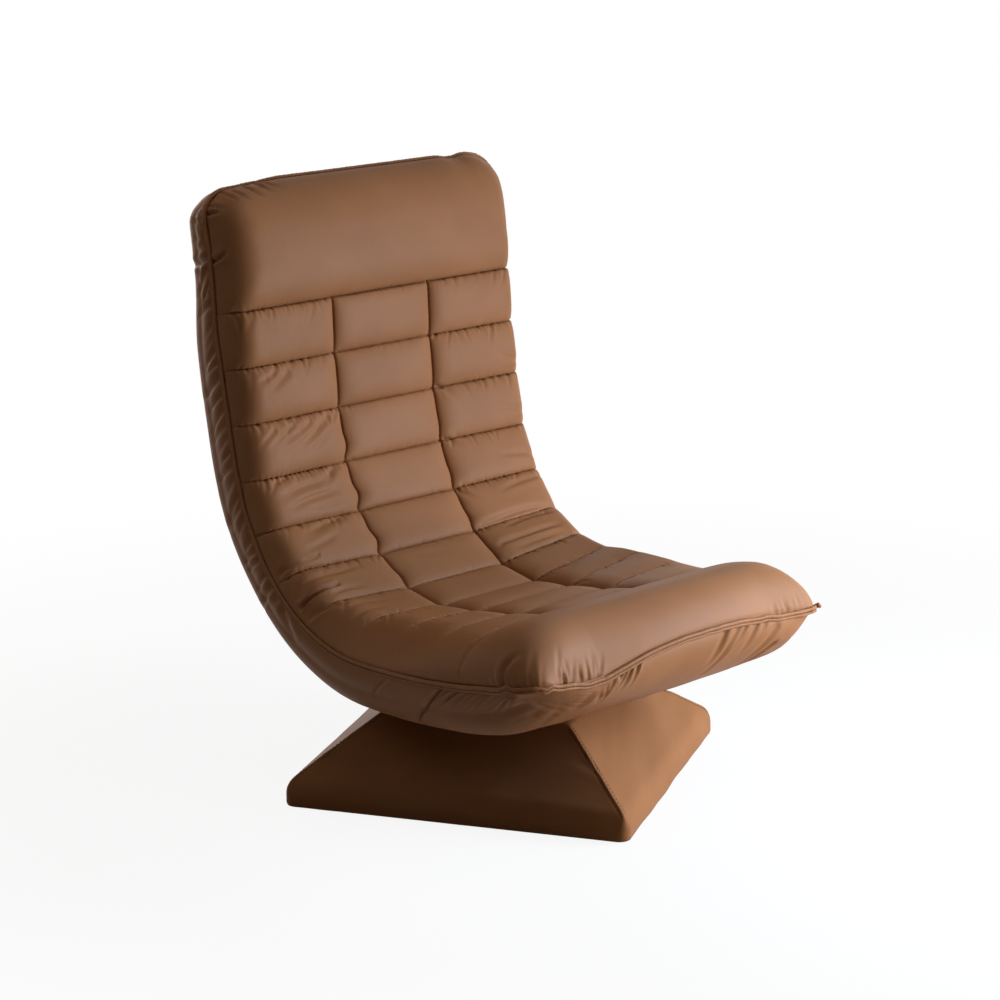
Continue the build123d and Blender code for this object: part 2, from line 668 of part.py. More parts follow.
# Head frame, pad and rear cover.
head_top = seam_len - TOP_TUBE_GAP
head_corner = HEAD_TUBE_CORNER
head_path = []
up = Vector(0, math.cos(bend_sweep), math.sin(bend_sweep))
corners = []
for x in (-FRAME_X, FRAME_X):
    low = Vector(spot(head_hinge_s + head_tube_gap, x, -FRAME_SINK))
    high = Vector(spot(head_top - head_corner, x, -FRAME_SINK))
    over = Vector(spot(head_top, x - math.copysign(head_corner, x), -FRAME_SINK))
    corners.append((Edge.make_line(low, high), Edge.make_tangent_arc(high, up, over), over))
head_line = Edge.make_line(corners[0][2], corners[1][2])
head_wire = Wire([corners[0][0], corners[0][1], head_line, corners[1][1], corners[1][0]])
nodes["head_frame"] = tube(head_wire)
head_end = seam_len - neck_end
nodes["head_cushion"] = head_panel(
    [neck_end, neck_end + 0.35 * head_end, neck_end + 0.65 * head_end, seam_len - 10, seam_len - 3, seam_len]
)
head_cap = [seam_len - part * TOP_ROUND for part in (1.0, 0.6, 0.3, 0.1, 0.0)]
nodes["head_rear_cover"] = cover([[neck_end] + head_cap], True, False)

# Recline hinge: toothed seat arm, two cheeks, pivot, plunger, guide pins and leaf spring.
pivot = spot(recline_s, 0, -FRAME_SINK)[1:]
bend_centre = (BEND_START, seam_low_z + BEND_RADIUS)
arc_radius = BEND_RADIUS + FRAME_SINK
bore = TUBE_RADIUS - TUBE_WALL
tooth_root = TOOTH_TIP - TOOTH_DEPTH
arm_tail_half = math.sqrt((bore - 0.2) ** 2 - (ARM_THICK / 2) ** 2)
cheek_in = ARM_THICK / 2 + CHEEK_PLAY
cheek_out = cheek_in + CHEEK_THICK
cheek_tail_half = math.sqrt((bore - 0.2) ** 2 - cheek_out**2)
line_angle = HINGE_BEND_ANGLE


def notch(angle, play):
    """Saw-tooth notch: a steep flank at angle, then a slope towards larger angles."""
    shift = math.degrees(play / TOOTH_TIP)
    root = polar(pivot, tooth_root + play, angle + shift)
    flank = polar(pivot, TOOTH_TIP + 1.0, angle + shift)
    slope = polar(pivot, TOOTH_TIP + 1.0, angle + 0.98 * TOOTH_STEP - shift)
    return Polygon(root, flank, slope, align=None)


tail_start = HINGE_BEND_ANGLE - 90 - arm_tail
arm_outline = Pos(*pivot) * Circle(TOOTH_TIP)
for k in range(TOOTH_COUNT):
    arm_outline -= notch(line_angle + TOOTH_STEP * (k - TOOTH_COUNT / 2 - 0.5), 0.0)
arm_outline += ring_sector(
    bend_centre, arc_radius - arm_tail_half, arc_radius + arm_tail_half, tail_start, arm_tail
)
arm_outline -= Pos(*pivot) * Circle(PIVOT_RADIUS + PIVOT_PLAY)

cheek_head = TOOTH_TIP + 2.0
guide_t = PLUNGER_WIDE / 2 + GUIDE_RADIUS + 0.2
cheek_reach = TOOTH_TIP + PLUNGER_LONG + 4 * GUIDE_RADIUS + 3
box_half = guide_t + GUIDE_RADIUS + 2.0
lever_plane = Pos(*pivot) * Rot(0, 0, line_angle)
cheek_outline = Pos(*pivot) * Circle(cheek_head)
cheek_outline += lever_plane * Pos(cheek_reach / 2, 0) * Rectangle(cheek_reach, 2 * box_half)
tail_size = back_tube_start - HINGE_BEND_ANGLE + 4.0
cheek_outline += ring_sector(
    bend_centre,
    arc_radius - cheek_tail_half,
    arc_radius + cheek_tail_half,
    HINGE_BEND_ANGLE - 90,
    tail_size,
)
guide_spots = []
for r in (TOOTH_TIP + 2.2 * GUIDE_RADIUS, TOOTH_TIP + PLUNGER_LONG + 3 * GUIDE_RADIUS):
    for t in (-guide_t, guide_t):
        guide_spots.append(lever_plane * Pos(r, t))
for place in guide_spots:
    cheek_outline -= place * Circle(GUIDE_RADIUS + 0.02)
cheek_outline -= Pos(*pivot) * Circle(PIVOT_RADIUS + 0.02)

plunger_in = TOOTH_TIP + TOOTH_PLAY
plunger_outline = lever_plane * Pos(plunger_in + PLUNGER_LONG / 2, 0) * Rectangle(PLUNGER_LONG, PLUNGER_WIDE)
for k in range(PLUNGER_TEETH):
    plunger_outline += notch(line_angle + TOOTH_STEP * (k - PLUNGER_TEETH / 2), TOOTH_PLAY)

spring_ends = TOOTH_TIP + PLUNGER_LONG + 2 * GUIDE_RADIUS - 0.3
spring_touch = plunger_in + PLUNGER_LONG + 0.2
leaf = 0.8
inner_leaf = ThreePointArc(
    (spring_ends - leaf, -guide_t - 1), (spring_touch, 0), (spring_ends - leaf, guide_t + 1)
)
outer_leaf = ThreePointArc(
    (spring_ends, -guide_t - 1), (spring_touch + leaf, 0), (spring_ends, guide_t + 1)
)
leaf_outline = lever_plane * make_face(
    [inner_leaf, Line(inner_leaf @ 1, outer_leaf @ 1), outer_leaf, Line(outer_leaf @ 0, inner_leaf @ 0)]
)

rivet_half = cheek_out + PIVOT_PLAY
pin_rest = (Align.CENTER, Align.CENTER, Align.CENTER)
for side, x in (("right", -FRAME_X), ("left", FRAME_X)):
    nodes[f"recline_arm_{side}"] = side_plate(arm_outline, x, ARM_THICK)
    cheeks = []
    for way in (-1, 1):
        cheeks.append(side_plate(cheek_outline, x + way * (cheek_in + CHEEK_THICK / 2), CHEEK_THICK))
    nodes[f"recline_cheeks_{side}"] = Compound(cheeks)
    nodes[f"recline_plunger_{side}"] = side_plate(plunger_outline, x, ARM_THICK - 0.2)
    nodes[f"recline_spring_{side}"] = side_plate(leaf_outline, x, ARM_THICK - 0.4)
    rivet = side_plate(Pos(*pivot) * Circle(PIVOT_RADIUS), x, 2 * rivet_half)
    for way in (-1, 1):
        rivet += side_plate(Pos(*pivot) * Circle(PIVOT_RADIUS + 4), x + way * (rivet_half + 1.25), 2.5)
    nodes[f"recline_rivet_{side}"] = rivet
    pins = [side_plate(place * Circle(GUIDE_RADIUS), x, 2 * cheek_out) for place in guide_spots]
    nodes[f"recline_pins_{side}"] = Compound(pins)

# Head hinge: flat arm, two cheeks, friction washers and a rivet on each side.
head_pivot = spot(head_hinge_s, 0, -FRAME_SINK)[1:]
head_plane = Pos(*head_pivot) * Rot(0, 0, 90 - BACK_LEAN)
head_arm_half = math.sqrt((bore - 0.2) ** 2 - (HEAD_ARM_THICK / 2) ** 2)
head_cheek_in = HEAD_ARM_THICK / 2 + WASHER_THICK + 2 * PIVOT_PLAY
head_cheek_out = head_cheek_in + HEAD_CHEEK_THICK
head_cheek_half = math.sqrt((bore - 0.2) ** 2 - head_cheek_out**2)
head_pin = 0.8 * PIVOT_RADIUS
tail = head_tube_gap + 18.0
arm_face = Pos(*head_pivot) * Circle(HEAD_DISC)
arm_face += head_plane * Pos(-tail / 2, 0) * Rectangle(tail, 2 * head_arm_half)
arm_face -= Pos(*head_pivot) * Circle(head_pin + PIVOT_PLAY)
cheek_face = Pos(*head_pivot) * Circle(HEAD_DISC)
cheek_face += head_plane * Pos(tail / 2, 0) * Rectangle(tail, 2 * head_cheek_half)
cheek_face -= Pos(*head_pivot) * Circle(head_pin + 0.02)
washer_face = Pos(*head_pivot) * (Circle(HEAD_DISC - 2) - Circle(head_pin + 0.02))
washers = []
head_rivets = []
head_half = head_cheek_out + PIVOT_PLAY
for side, x in (("right", -FRAME_X), ("left", FRAME_X)):
    nodes[f"head_arm_{side}"] = side_plate(arm_face, x, HEAD_ARM_THICK)
    cheeks = []
    rivet = side_plate(Pos(*head_pivot) * Circle(head_pin), x, 2 * head_half)
    for way in (-1, 1):
        cheek_x = x + way * (head_cheek_in + HEAD_CHEEK_THICK / 2)
        cheeks.append(side_plate(cheek_face, cheek_x, HEAD_CHEEK_THICK))
        washer_x = x + way * (head_cheek_in - PIVOT_PLAY / 2 - WASHER_THICK / 2)
        washers.append(side_plate(washer_face, washer_x, WASHER_THICK))
        rivet += side_plate(Pos(*head_pivot) * Circle(head_pin + 3), x + way * (head_half + 1), 2)
    nodes[f"head_cheeks_{side}"] = Compound(cheeks)
    head_rivets.append(rivet)
nodes["head_washers"] = Compound(washers)
nodes["head_rivets"] = Compound(head_rivets)

for name, shape in nodes.items():
    export_step(shape, f"parts/{name}.step")
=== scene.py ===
import json
import math

import bmesh
import bpy
import numpy as np
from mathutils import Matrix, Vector, noise


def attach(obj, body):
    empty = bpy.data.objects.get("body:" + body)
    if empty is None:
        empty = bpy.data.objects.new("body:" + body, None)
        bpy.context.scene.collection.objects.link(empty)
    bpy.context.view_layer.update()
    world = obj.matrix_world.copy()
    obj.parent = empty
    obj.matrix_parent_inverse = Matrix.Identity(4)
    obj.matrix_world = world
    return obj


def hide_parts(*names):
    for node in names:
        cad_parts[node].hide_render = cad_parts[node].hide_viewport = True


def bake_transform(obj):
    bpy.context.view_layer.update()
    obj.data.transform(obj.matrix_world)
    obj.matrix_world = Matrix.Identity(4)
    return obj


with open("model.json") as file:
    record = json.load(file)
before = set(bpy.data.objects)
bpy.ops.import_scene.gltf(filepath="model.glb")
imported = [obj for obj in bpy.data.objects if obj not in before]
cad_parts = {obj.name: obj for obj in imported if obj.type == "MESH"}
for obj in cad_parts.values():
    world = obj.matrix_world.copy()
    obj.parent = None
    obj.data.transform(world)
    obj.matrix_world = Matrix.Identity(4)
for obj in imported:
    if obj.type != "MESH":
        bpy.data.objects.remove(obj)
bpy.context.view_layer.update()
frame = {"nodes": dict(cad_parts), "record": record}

MM = 0.001

# Sizes shared with the solids, in millimetres.
SEAM_LOW = 221.0
SEAM_TOP = 857.0
SEAM_HALF = 287.0
SEAT_FRONT = 335.0
SEAT_CURVE = 1400.0
BEND_START = 4.0
BEND_RADIUS = 250.0
SWEEP = math.radians(80)
SEAT_LEN = SEAT_CURVE * math.asin((SEAT_FRONT + BEND_START) / SEAT_CURVE)
BEND_LEN = BEND_RADIUS * SWEEP
BACK_RISE = SEAM_TOP - SEAM_LOW - BEND_RADIUS * (1 - math.cos(SWEEP))
SEAM_LEN = SEAT_LEN + BEND_LEN + BACK_RISE / math.sin(SWEEP)
FRONT_PANEL = 136.0
HEAD_PANEL = 184.5
ROW_COUNT = 10
PITCH = (SEAM_LEN - FRONT_PANEL - HEAD_PANEL) / ROW_COUNT
ROWS = [FRONT_PANEL + PITCH * k for k in range(ROW_COUNT + 1)]
QUILT_END = ROWS[-1]
COLUMN_X = 95.5
PILLOW = 10.5
CROWN_S = 0.46 * FRONT_PANEL
CROWN_Z = 324.0
CROWN_DROP = 24
NECK_S = SEAM_LEN - 110.0
NECK_HALF = 34.0
NECK_START = NECK_S - NECK_HALF
NECK_END = NECK_S + NECK_HALF
BASE_TURN = math.radians(28.6)
BASE_HALF = 250.0
BASE_TOP_HALF = 132.0
PLINTH = 35.0
COVER_TOP = 124.5
HEM_Z = 1.0
HEAD_SPLIT = 966.0


def smooth(x):
    """Eased step from 0 at x = 0 to 1 at x = 1."""
    x = np.clip(x, 0.0, 1.0)
    return x * x * (3 - 2 * x)


def bell(x, width):
    """Bell curve, 1 at x = 0."""
    return np.exp(-((x / width) ** 2))


def unit(vectors):
    """Vectors scaled to a length of 1."""
    return vectors / np.linalg.norm(vectors, axis=-1, keepdims=True)


def run_of(points, axis=0):
    """Length from the start of a path or grid of points to each of its points."""
    run = np.cumsum(np.linalg.norm(np.diff(points, axis=axis), axis=-1), axis)
    return np.concatenate([0 * run.take([0], axis), run], axis)


HEAD_SINK = 4.0
BACK_BOW = 10.0


def seam(s):
    """y, z and slope of the seam curve; the soft back bows to the rear and the head sinks."""
    s = np.asarray(s, float)
    s = s - HEAD_SINK * smooth((s - 990.0) / 130.0)
    run = s - SEAT_LEN - BEND_LEN
    turn = np.where(s < SEAT_LEN, (s - SEAT_LEN) / SEAT_CURVE, (s - SEAT_LEN) / BEND_RADIUS)
    turn = np.minimum(turn, SWEEP)
    radius = np.where(s < SEAT_LEN, SEAT_CURVE, BEND_RADIUS)
    past = np.maximum(run, 0.0)
    y = BEND_START + radius * np.sin(turn) + past * math.cos(SWEEP)
    z = SEAM_LOW + radius * (1 - np.cos(turn)) + past * math.sin(SWEEP)
    bow = BACK_BOW * smooth((s - 590.0) / 170.0) * smooth((1030.0 - s) / 130.0)
    return y + bow * np.sin(turn), z - bow * np.cos(turn), turn


def spot(s, u, v):
    """Points at length s, u across the chair and v towards the sitter."""
    y, z, turn = seam(s)
    return np.stack(np.broadcast_arrays(u, y - v * np.sin(turn), z + v * np.cos(turn)), -1)


def end_round(distance, reach):
    """Quarter circle from 0 at an end to 1 at the given reach from it."""
    left = 1 - np.clip(distance, 0.0, reach) / reach
    return np.sqrt(1 - left * left)


LEFT_CORNER = 44.0
RIGHT_CORNER = 16.0
TOP_CORNER = 46.0
WAIST = 4.0


def half_width(s, corner):
    """Half width of the seam outline at length s, with the given front corner."""
    front = corner * (1 - end_round(s, corner))
    top = TOP_CORNER * (1 - end_round(SEAM_LEN - s, TOP_CORNER))
    return SEAM_HALF - front - top - WAIST * np.sin(np.pi * np.clip(s / SEAM_LEN, 0, 1)) ** 2


# How far the front edge (DROOP) and the top edge (TOP) hang down, from left to right.
DROOP_U = [-287, -255, -225, -185, -145, -105, -65, -25, 15, 55, 95, 135, 175, 215, 255, 287]
DROOP_V = [2, 4, 10, 16, 18, 10, 2, -3, -6, -6.5, -6.5, -5, -1, 3, 6, 6]
TOP_U = [-287, -262, -235, -200, -150, 165, 186, 200, 214, 228, 244, 287]
TOP_V = [6, 6, 6, 4, 0, 0, 3.5, 3.5, 0.5, 0.5, 3.0, 9.0]
DROOP_REACH = 80.0


def droop(points, s, u, v):
    """Lets the front and top edges of the soft pad hang unevenly, as the photographed ones do."""
    down = np.interp(u, DROOP_U, DROOP_V) * smooth(1 - s / DROOP_REACH)
    down = down * np.clip(1 - np.where(v > 0, v / 85.0, -v / 65.0), 0, 1)
    top = np.interp(u, TOP_U, TOP_V) * smooth(1 - (SEAM_LEN - s) / DROOP_REACH)
    tip = smooth((u - 190.0) / 90.0) * smooth(1 - s / 75.0)
    out = points.copy()
    out[..., 0] += 9.0 * tip
    out[..., 1] -= 6.0 * tip
    out[..., 2] -= down + top * np.clip(1 - abs(v) / 75.0, 0, 1)
    return out


REACH_S = [136.0, 330.0, 430.0, 520.0, 560.0]
REACH_U = [222.0, 226.0, 240.0, 276.0, 300.0]


def stitch_reach(s):
    """How far out the cross stitches go; on the seat they end before the rolled edge."""
    return np.interp(s, REACH_S, REACH_U)


_, front_z, front_turn = seam(CROWN_S)
FRONT_CROWN = float((CROWN_Z - front_z) / np.cos(front_turn))
STITCH_V = [FRONT_CROWN - CROWN_DROP, 46.0, 40.0, 32.0, 24.0, 20.0, 18.0, 17.0, 18.0, 24.0, 33.0]
DEPTH_S = [0.0, 68.0, SEAT_LEN, ROWS[5], ROWS[7], ROWS[9], NECK_START, SEAM_LEN]
DEPTH_V = [69.75, 75.0, 75.0, 72.0, 81.0, 81.0, 68.0, 62.0]
DEPTH_EASE = np.linspace(-60.0, 60.0, 25)


def rear_depth(s):
    """How far the rear cover stands behind the seam, with its changes eased."""
    return sum(np.interp(s + ease, DEPTH_S, DEPTH_V) for ease in DEPTH_EASE) / len(DEPTH_EASE)


def rumple(points, seed):
    """Smooth noise value at each point, about -1 to 1."""
    shift = Vector((seed * 7.31, seed * 3.17, seed * 5.73))
    out = [noise.noise(Vector(p) + shift) for p in points.reshape(-1, 3)]
    return np.array(out).reshape(points.shape[:-1])


# Mesh helpers


def mesh_object(name, points, faces):
    """Smooth-shaded object from points in millimetres."""
    mesh = bpy.data.meshes.new(name)
    mesh.from_pydata((np.reshape(points, (-1, 3)) * MM).tolist(), [], faces)
    mesh.polygons.foreach_set("use_smooth", np.ones(len(mesh.polygons), bool))
    obj = bpy.data.objects.new(name, mesh)
    bpy.context.scene.collection.objects.link(obj)
    return obj


def grid_object(name, points, flip=False, wrap=False):
    """Object from a grid of points in millimetres, with lengths along the grid as its UV map."""
    rows, cols = points.shape[:2]
    index = np.arange(rows * cols).reshape(rows, cols)
    if wrap:
        index = np.concatenate([index, index[:, :1]], 1)
    a, b, c, d = index[:-1, :-1], index[:-1, 1:], index[1:, 1:], index[1:, :-1]
    order = (a, d, c, b) if flip else (a, b, c, d)
    obj = mesh_object(name, points, np.stack([x.ravel() for x in order], 1).tolist())
    closed = np.concatenate([points, points[:, :1]], 1) if wrap else points
    along, across = grid_lengths(closed, 0, closed.shape[1] // 2)
    coordinates = np.stack([across, along], -1) * MM
    i, j = np.meshgrid(np.arange(rows - 1), np.arange(closed.shape[1] - 1), indexing="ij")
    steps = ((0, 0), (1, 0), (1, 1), (0, 1)) if flip else ((0, 0), (0, 1), (1, 1), (1, 0))
    loops = np.stack([coordinates[i + di, j + dj] for di, dj in steps], 2)
    layer = obj.data.uv_layers.new(name="UVMap")
    layer.data.foreach_set("uv", loops.reshape(-1).astype(np.float32))
    return obj


def grid_lengths(points, row, col):
    """Lengths along and across a grid's surface, counted from one row and one column."""
    along, across = run_of(points, 0), run_of(points, 1)
    return along - along[[row]], across - across[:, [col]]


def edge_gap(along, across):
    """Distance of every grid point from the nearest edge of its grid."""
    gap = np.minimum(abs(across - across[:, [0]]), abs(across - across[:, [-1]]))
    return np.minimum(gap, np.minimum(abs(along - along[[0]]), abs(along - along[[-1]])))


def set_edges(grid, value):
    """Gives the outer rows and columns of a grid one value."""
    grid[[0, -1]] = value
    grid[:, [0, -1]] = value


def rings(out, up, sides):
    """Unit circle at each point of a path, spanned by its out and up directions."""
    turn = np.linspace(0, 2 * np.pi, sides, endpoint=False)[None, :, None]
    return np.cos(turn) * out[:, None] + np.sin(turn) * up[:, None]


def grid_normals(points, flip=False):
    """Unit normals of a grid of points."""
    n = np.cross(np.gradient(points, axis=1), np.gradient(points, axis=0))
    n /= np.linalg.norm(n, axis=2, keepdims=True) + 1e-9
    return -n if flip else n


def beside(x):
    """Sum of each grid point's four neighbours, with the edges repeated."""
    around = np.pad(x, ((1, 1), (1, 1), (0, 0)), "edge")
    return around[:-2, 1:-1] + around[2:, 1:-1] + around[1:-1, :-2] + around[1:-1, 2:]


def drape(start, held, full_across, full_along, soft, rounds, press, bend, cap):
    """Cloth simulation of a grid: links with extra length, held stitches, pressure and bending."""
    x = start.copy()
    free = np.where(held, 0.0, 1.0)[:, :, None]
    every = slice(None)
    head, tail = slice(None, -1), slice(1, None)
    links = []
    for first, second, extra in (
        ((every, head), (every, tail), full_across),
        ((head, every), (tail, every), full_along),
        ((head, head), (tail, tail), (full_across + full_along) / 2),
        ((head, tail), (tail, head), (full_across + full_along) / 2),
    ):
        length = np.linalg.norm(x[second] - x[first], axis=2)
        links.append((first, second, length * (1 + (extra[first] + extra[second]) / 2)))
    uneven = np.random.default_rng(1).normal(0.0, 0.25, x.shape[:2])
    x += free * uneven[:, :, None] * grid_normals(x)
    for _ in range(rounds):
        x += press * free * grid_normals(x)
        change = np.zeros_like(x)
        for first, second, length in links:
            link = x[second] - x[first]
            now = np.linalg.norm(link, axis=2)
            half = link * (0.5 * (1 - length / np.maximum(now, 1e-6)))[:, :, None]
            change[first] += half
            change[second] -= half
        x += 0.3 * free * change
        for _ in range(2):
            lap = beside(x) / 4 - x
            lap = beside(lap) / 4 - lap
            x -= bend * free * lap
        x += soft[:, :, None] * free * (start - x)
    moved = x - start
    for _ in range(3):
        moved = free * (0.5 * moved + 0.125 * beside(moved))
    far = np.linalg.norm(moved, axis=2, keepdims=True)
    return start + moved * np.minimum(1.0, cap / np.maximum(far, 1e-9))


# Front cover of the pad: numbers of grid steps, then the lengths s of the grid's rows.

N_NOSE, N_SLOPE, N_BAND, N_NECK, N_TOP = 34, 26, 38, 36, 36
N_OUT, N_MID = 100, 84
nose = np.radians(np.linspace(0, 90, N_NOSE + 1))
top = np.radians(np.linspace(90, 0, N_TOP + 1))
TOP_REACH = 82.5
line_s = [CROWN_S * (1 - np.cos(nose))]
line_s.append(np.linspace(CROWN_S, FRONT_PANEL, N_SLOPE + 1)[1:])
for k in range(ROW_COUNT):
    even = np.linspace(0, 1, N_BAND + 1)[1:]
    closer = even - 0.45 * np.sin(2 * np.pi * even) / (2 * np.pi)
    line_s.append(ROWS[k] + PITCH * closer)
line_s.append(np.linspace(QUILT_END, SEAM_LEN - TOP_REACH, N_NECK + 1)[1:])
line_s.append((SEAM_LEN - TOP_REACH * (1 - np.cos(top)))[1:])
line_s = np.concatenate(line_s)
line_s[0], line_s[-1] = 0.0, SEAM_LEN
row_lines = [N_NOSE + N_SLOPE + N_BAND * k for k in range(ROW_COUNT + 1)]
column_lines = [N_OUT, N_OUT + N_MID]
split = row_lines[-1]
quilt_rows = slice(row_lines[0], split + 1)
middle = N_OUT + N_MID // 2

# Width of the rolled side edges, rise of the sides towards the sitter, and how sharply they curl.
SHOULDER_S = [150.0, 330.0, 480.0, 560.0, QUILT_END, QUILT_END + 60.0]
LEFT_SHOULDER = [104.0, 92.0, 56.0, 50.0, 48.0, 68.0]
RIGHT_SHOULDER = [60.0, 52.0, 46.0, 40.0, 40.0, 50.0]
WING_S = [136.0, 230.0, 330.0, 470.0, 560.0, 800.0, QUILT_END + 60.0]
LEFT_WING = [0.0, 2.0, 4.0, 8.0, 8.0, 8.0, 0.0]
RIGHT_WING = [0.0, 14.0, 20.0, 18.0, 12.0, 8.0, 0.0]
CURL_S = [380.0, 540.0]
LEFT_CURL = [1.9, 3.4]
RIGHT_CURL = [1.9, 1.9]
PILLOW_EDGE = 38.0
HEAD_LOW, HEAD_SWELL, HEAD_RISE = 33.0, 20.0, 60.0


def row_part(s):
    """Place within a row of pillows, from 0 at its lower stitch to 1 at its upper one."""
    return np.clip((s - FRONT_PANEL) / PITCH, 0, ROW_COUNT - 1e-6) % 1.0


def pad_grid():
    """Front cover before it settles: every point's s, u and v."""
    s = line_s[:, None]
    in_head = s > QUILT_END
    in_panel = (s < FRONT_PANEL) | in_head
    band = np.sqrt(np.clip(1 - abs(2 * row_part(s) - 1) ** 2.6, 0, 1))
    band = np.where(in_panel, 0.0, band)
    low = np.interp(s, ROWS, STITCH_V)
    back = np.clip((s - CROWN_S) / (FRONT_PANEL - CROWN_S), 0, 1)
    slope_v = FRONT_CROWN - CROWN_DROP * (1 - np.sqrt(1 - back ** 2.6))
    front_v = np.where(s < CROWN_S, FRONT_CROWN * end_round(s, CROWN_S), slope_v)
    head_v = HEAD_LOW + HEAD_SWELL * end_round(s - QUILT_END, HEAD_RISE)
    head_v = head_v * end_round(SEAM_LEN - s, TOP_REACH)
    panel_v = np.where(in_head, head_v, front_v)
    dense = np.sin(np.linspace(0, np.pi / 2, 240))[None, :]
    wide = 4.6 - 1.5 * smooth((s - QUILT_END) / 70.0) - 0.6 * smooth((120.0 - s) / 80.0)
    even = np.linspace(0, 1, N_OUT + 1)[1:]
    flat = smooth((500.0 - s) / 150.0)

    def outer(corner, full, shoulder, wing, curl):
        reach = half_width(s, corner) - COLUMN_X
        u = COLUMN_X + reach * dense
        shell = (1 - dense ** (wide + full * smooth((150.0 - s) / 60.0))) ** 0.46
        roll = np.interp(s, SHOULDER_S, shoulder)
        flank = 1 - np.clip(1 - reach * (1 - dense) / roll, 0, 1) ** np.interp(s, CURL_S, curl)
        shell = shell + (flank - shell) * smooth((s - 150.0) / 160.0)
        lean = np.clip((u - COLUMN_X) / 140.0, 0, 1) * np.interp(s, WING_S, wing)
        near = end_round(reach * dense, PILLOW_EDGE)
        sewn = smooth((stitch_reach(s) + 30.0 - u) / 60.0)
        swell = 1 - (1 - band) * sewn
        puff = 3 + (PILLOW + 1) * (1 - 0.4 * flat) * swell
        quilt_v = low + 4.0 * flat * near + puff * near ** 0.8
        v = shell * (np.where(in_panel, panel_v, quilt_v) + lean)
        run = np.zeros_like(v)
        run[:, 1:] = np.cumsum(np.hypot(np.diff(u, axis=1), np.diff(v, axis=1)), 1)
        u = np.stack([np.interp(even * r[-1], r, a) for r, a in zip(run, u)])
        return u, np.stack([np.interp(even * r[-1], r, a) for r, a in zip(run, v)])

    left_u, left_v = outer(LEFT_CORNER, 0.0, LEFT_SHOULDER, LEFT_WING, LEFT_CURL)
    right_u, right_v = outer(RIGHT_CORNER, 3.5, RIGHT_SHOULDER, RIGHT_WING, RIGHT_CURL)
    mid = np.linspace(-1, 1, N_MID + 1)[None, :]
    near = end_round(COLUMN_X * (1 - abs(mid)), PILLOW_EDGE)
    quilt_v = low + 2 * near + PILLOW * band * near ** 0.8
    v_mid = np.where(in_panel, panel_v + 0 * mid, quilt_v)
    u_mid = COLUMN_X * mid + 0 * s
    u = np.concatenate([-left_u[:, ::-1], u_mid, right_u], 1)
    v = np.concatenate([left_v[:, ::-1], v_mid, right_v], 1)
    return s + 0 * u, u, v


pad_s, pad_u, pad_v = pad_grid()


def wander():
    """Sideways drift of the column stitches, which bunch up towards the foot of each pillow."""
    part = row_part(pad_s)
    bunch = bell(part - 0.34, 0.16) - 0.5 * bell(part - 0.08, 0.07)
    rows = smooth((pad_s - 430.0) / 120.0) * smooth((800.0 - pad_s) / 120.0)
    left = bell(pad_u + COLUMN_X, 26.0)
    right = bell(pad_u - COLUMN_X, 26.0)
    return bunch * rows * (6.0 * left + 2.0 * right)


pad_u = pad_u + wander()
pad = droop(spot(pad_s, pad_u, pad_v), pad_s, pad_u, pad_v)


def anchored(lengths):
    """Lengths along the pad, stretched so that every stitch row lies at its own value of s."""
    out = lengths + FRONT_PANEL
    for k in range(ROW_COUNT):
        low, high = lengths[[row_lines[k]]], lengths[[row_lines[k + 1]]]
        rows = slice(row_lines[k], row_lines[k + 1] + 1)
        out[rows] = ROWS[k] + PITCH * (lengths[rows] - low) / (high - low)
    out[split:] = QUILT_END + lengths[split:] - lengths[[split]]
    return out


pad_l, pad_w = grid_lengths(pad, row_lines[0], middle)
pad_l = anchored(pad_l)

pinned = np.zeros(pad.shape[:2], bool)
set_edges(pinned, True)
for k, i in enumerate(row_lines):
    pinned[i] |= abs(pad_u[i]) < stitch_reach(ROWS[k]) - 22.0
for j in column_lines:
    pinned[quilt_rows, j] = True


def pad_fullness():
    """Share of extra cloth across and along the pad, more at its sides and at the bend."""
    in_quilt = (pad_s >= FRONT_PANEL) & (pad_s <= QUILT_END)
    outer = smooth((abs(pad_u) - 100.0) / 60.0)
    across = np.where(in_quilt, 0.012 + 0.012 * outer, 0.004)
    bend_zone = bell(pad_s - 470.0, 110.0)
    along = np.where(in_quilt, 0.004 + 0.02 * bend_zone * outer, 0.002)
    return across, along


def rounded(line):
    """Line of points with its corners cut, so that a fold bends gently."""
    line = np.array(line, float)
    for _ in range(2):
        near, far = line[:-1], line[1:]
        cut = np.concatenate([0.75 * near + 0.25 * far, 0.25 * near + 0.75 * far], 1)
        line = np.concatenate([line[:1], cut.reshape(-1, 2)[1:-1], line[-1:]])
    return line


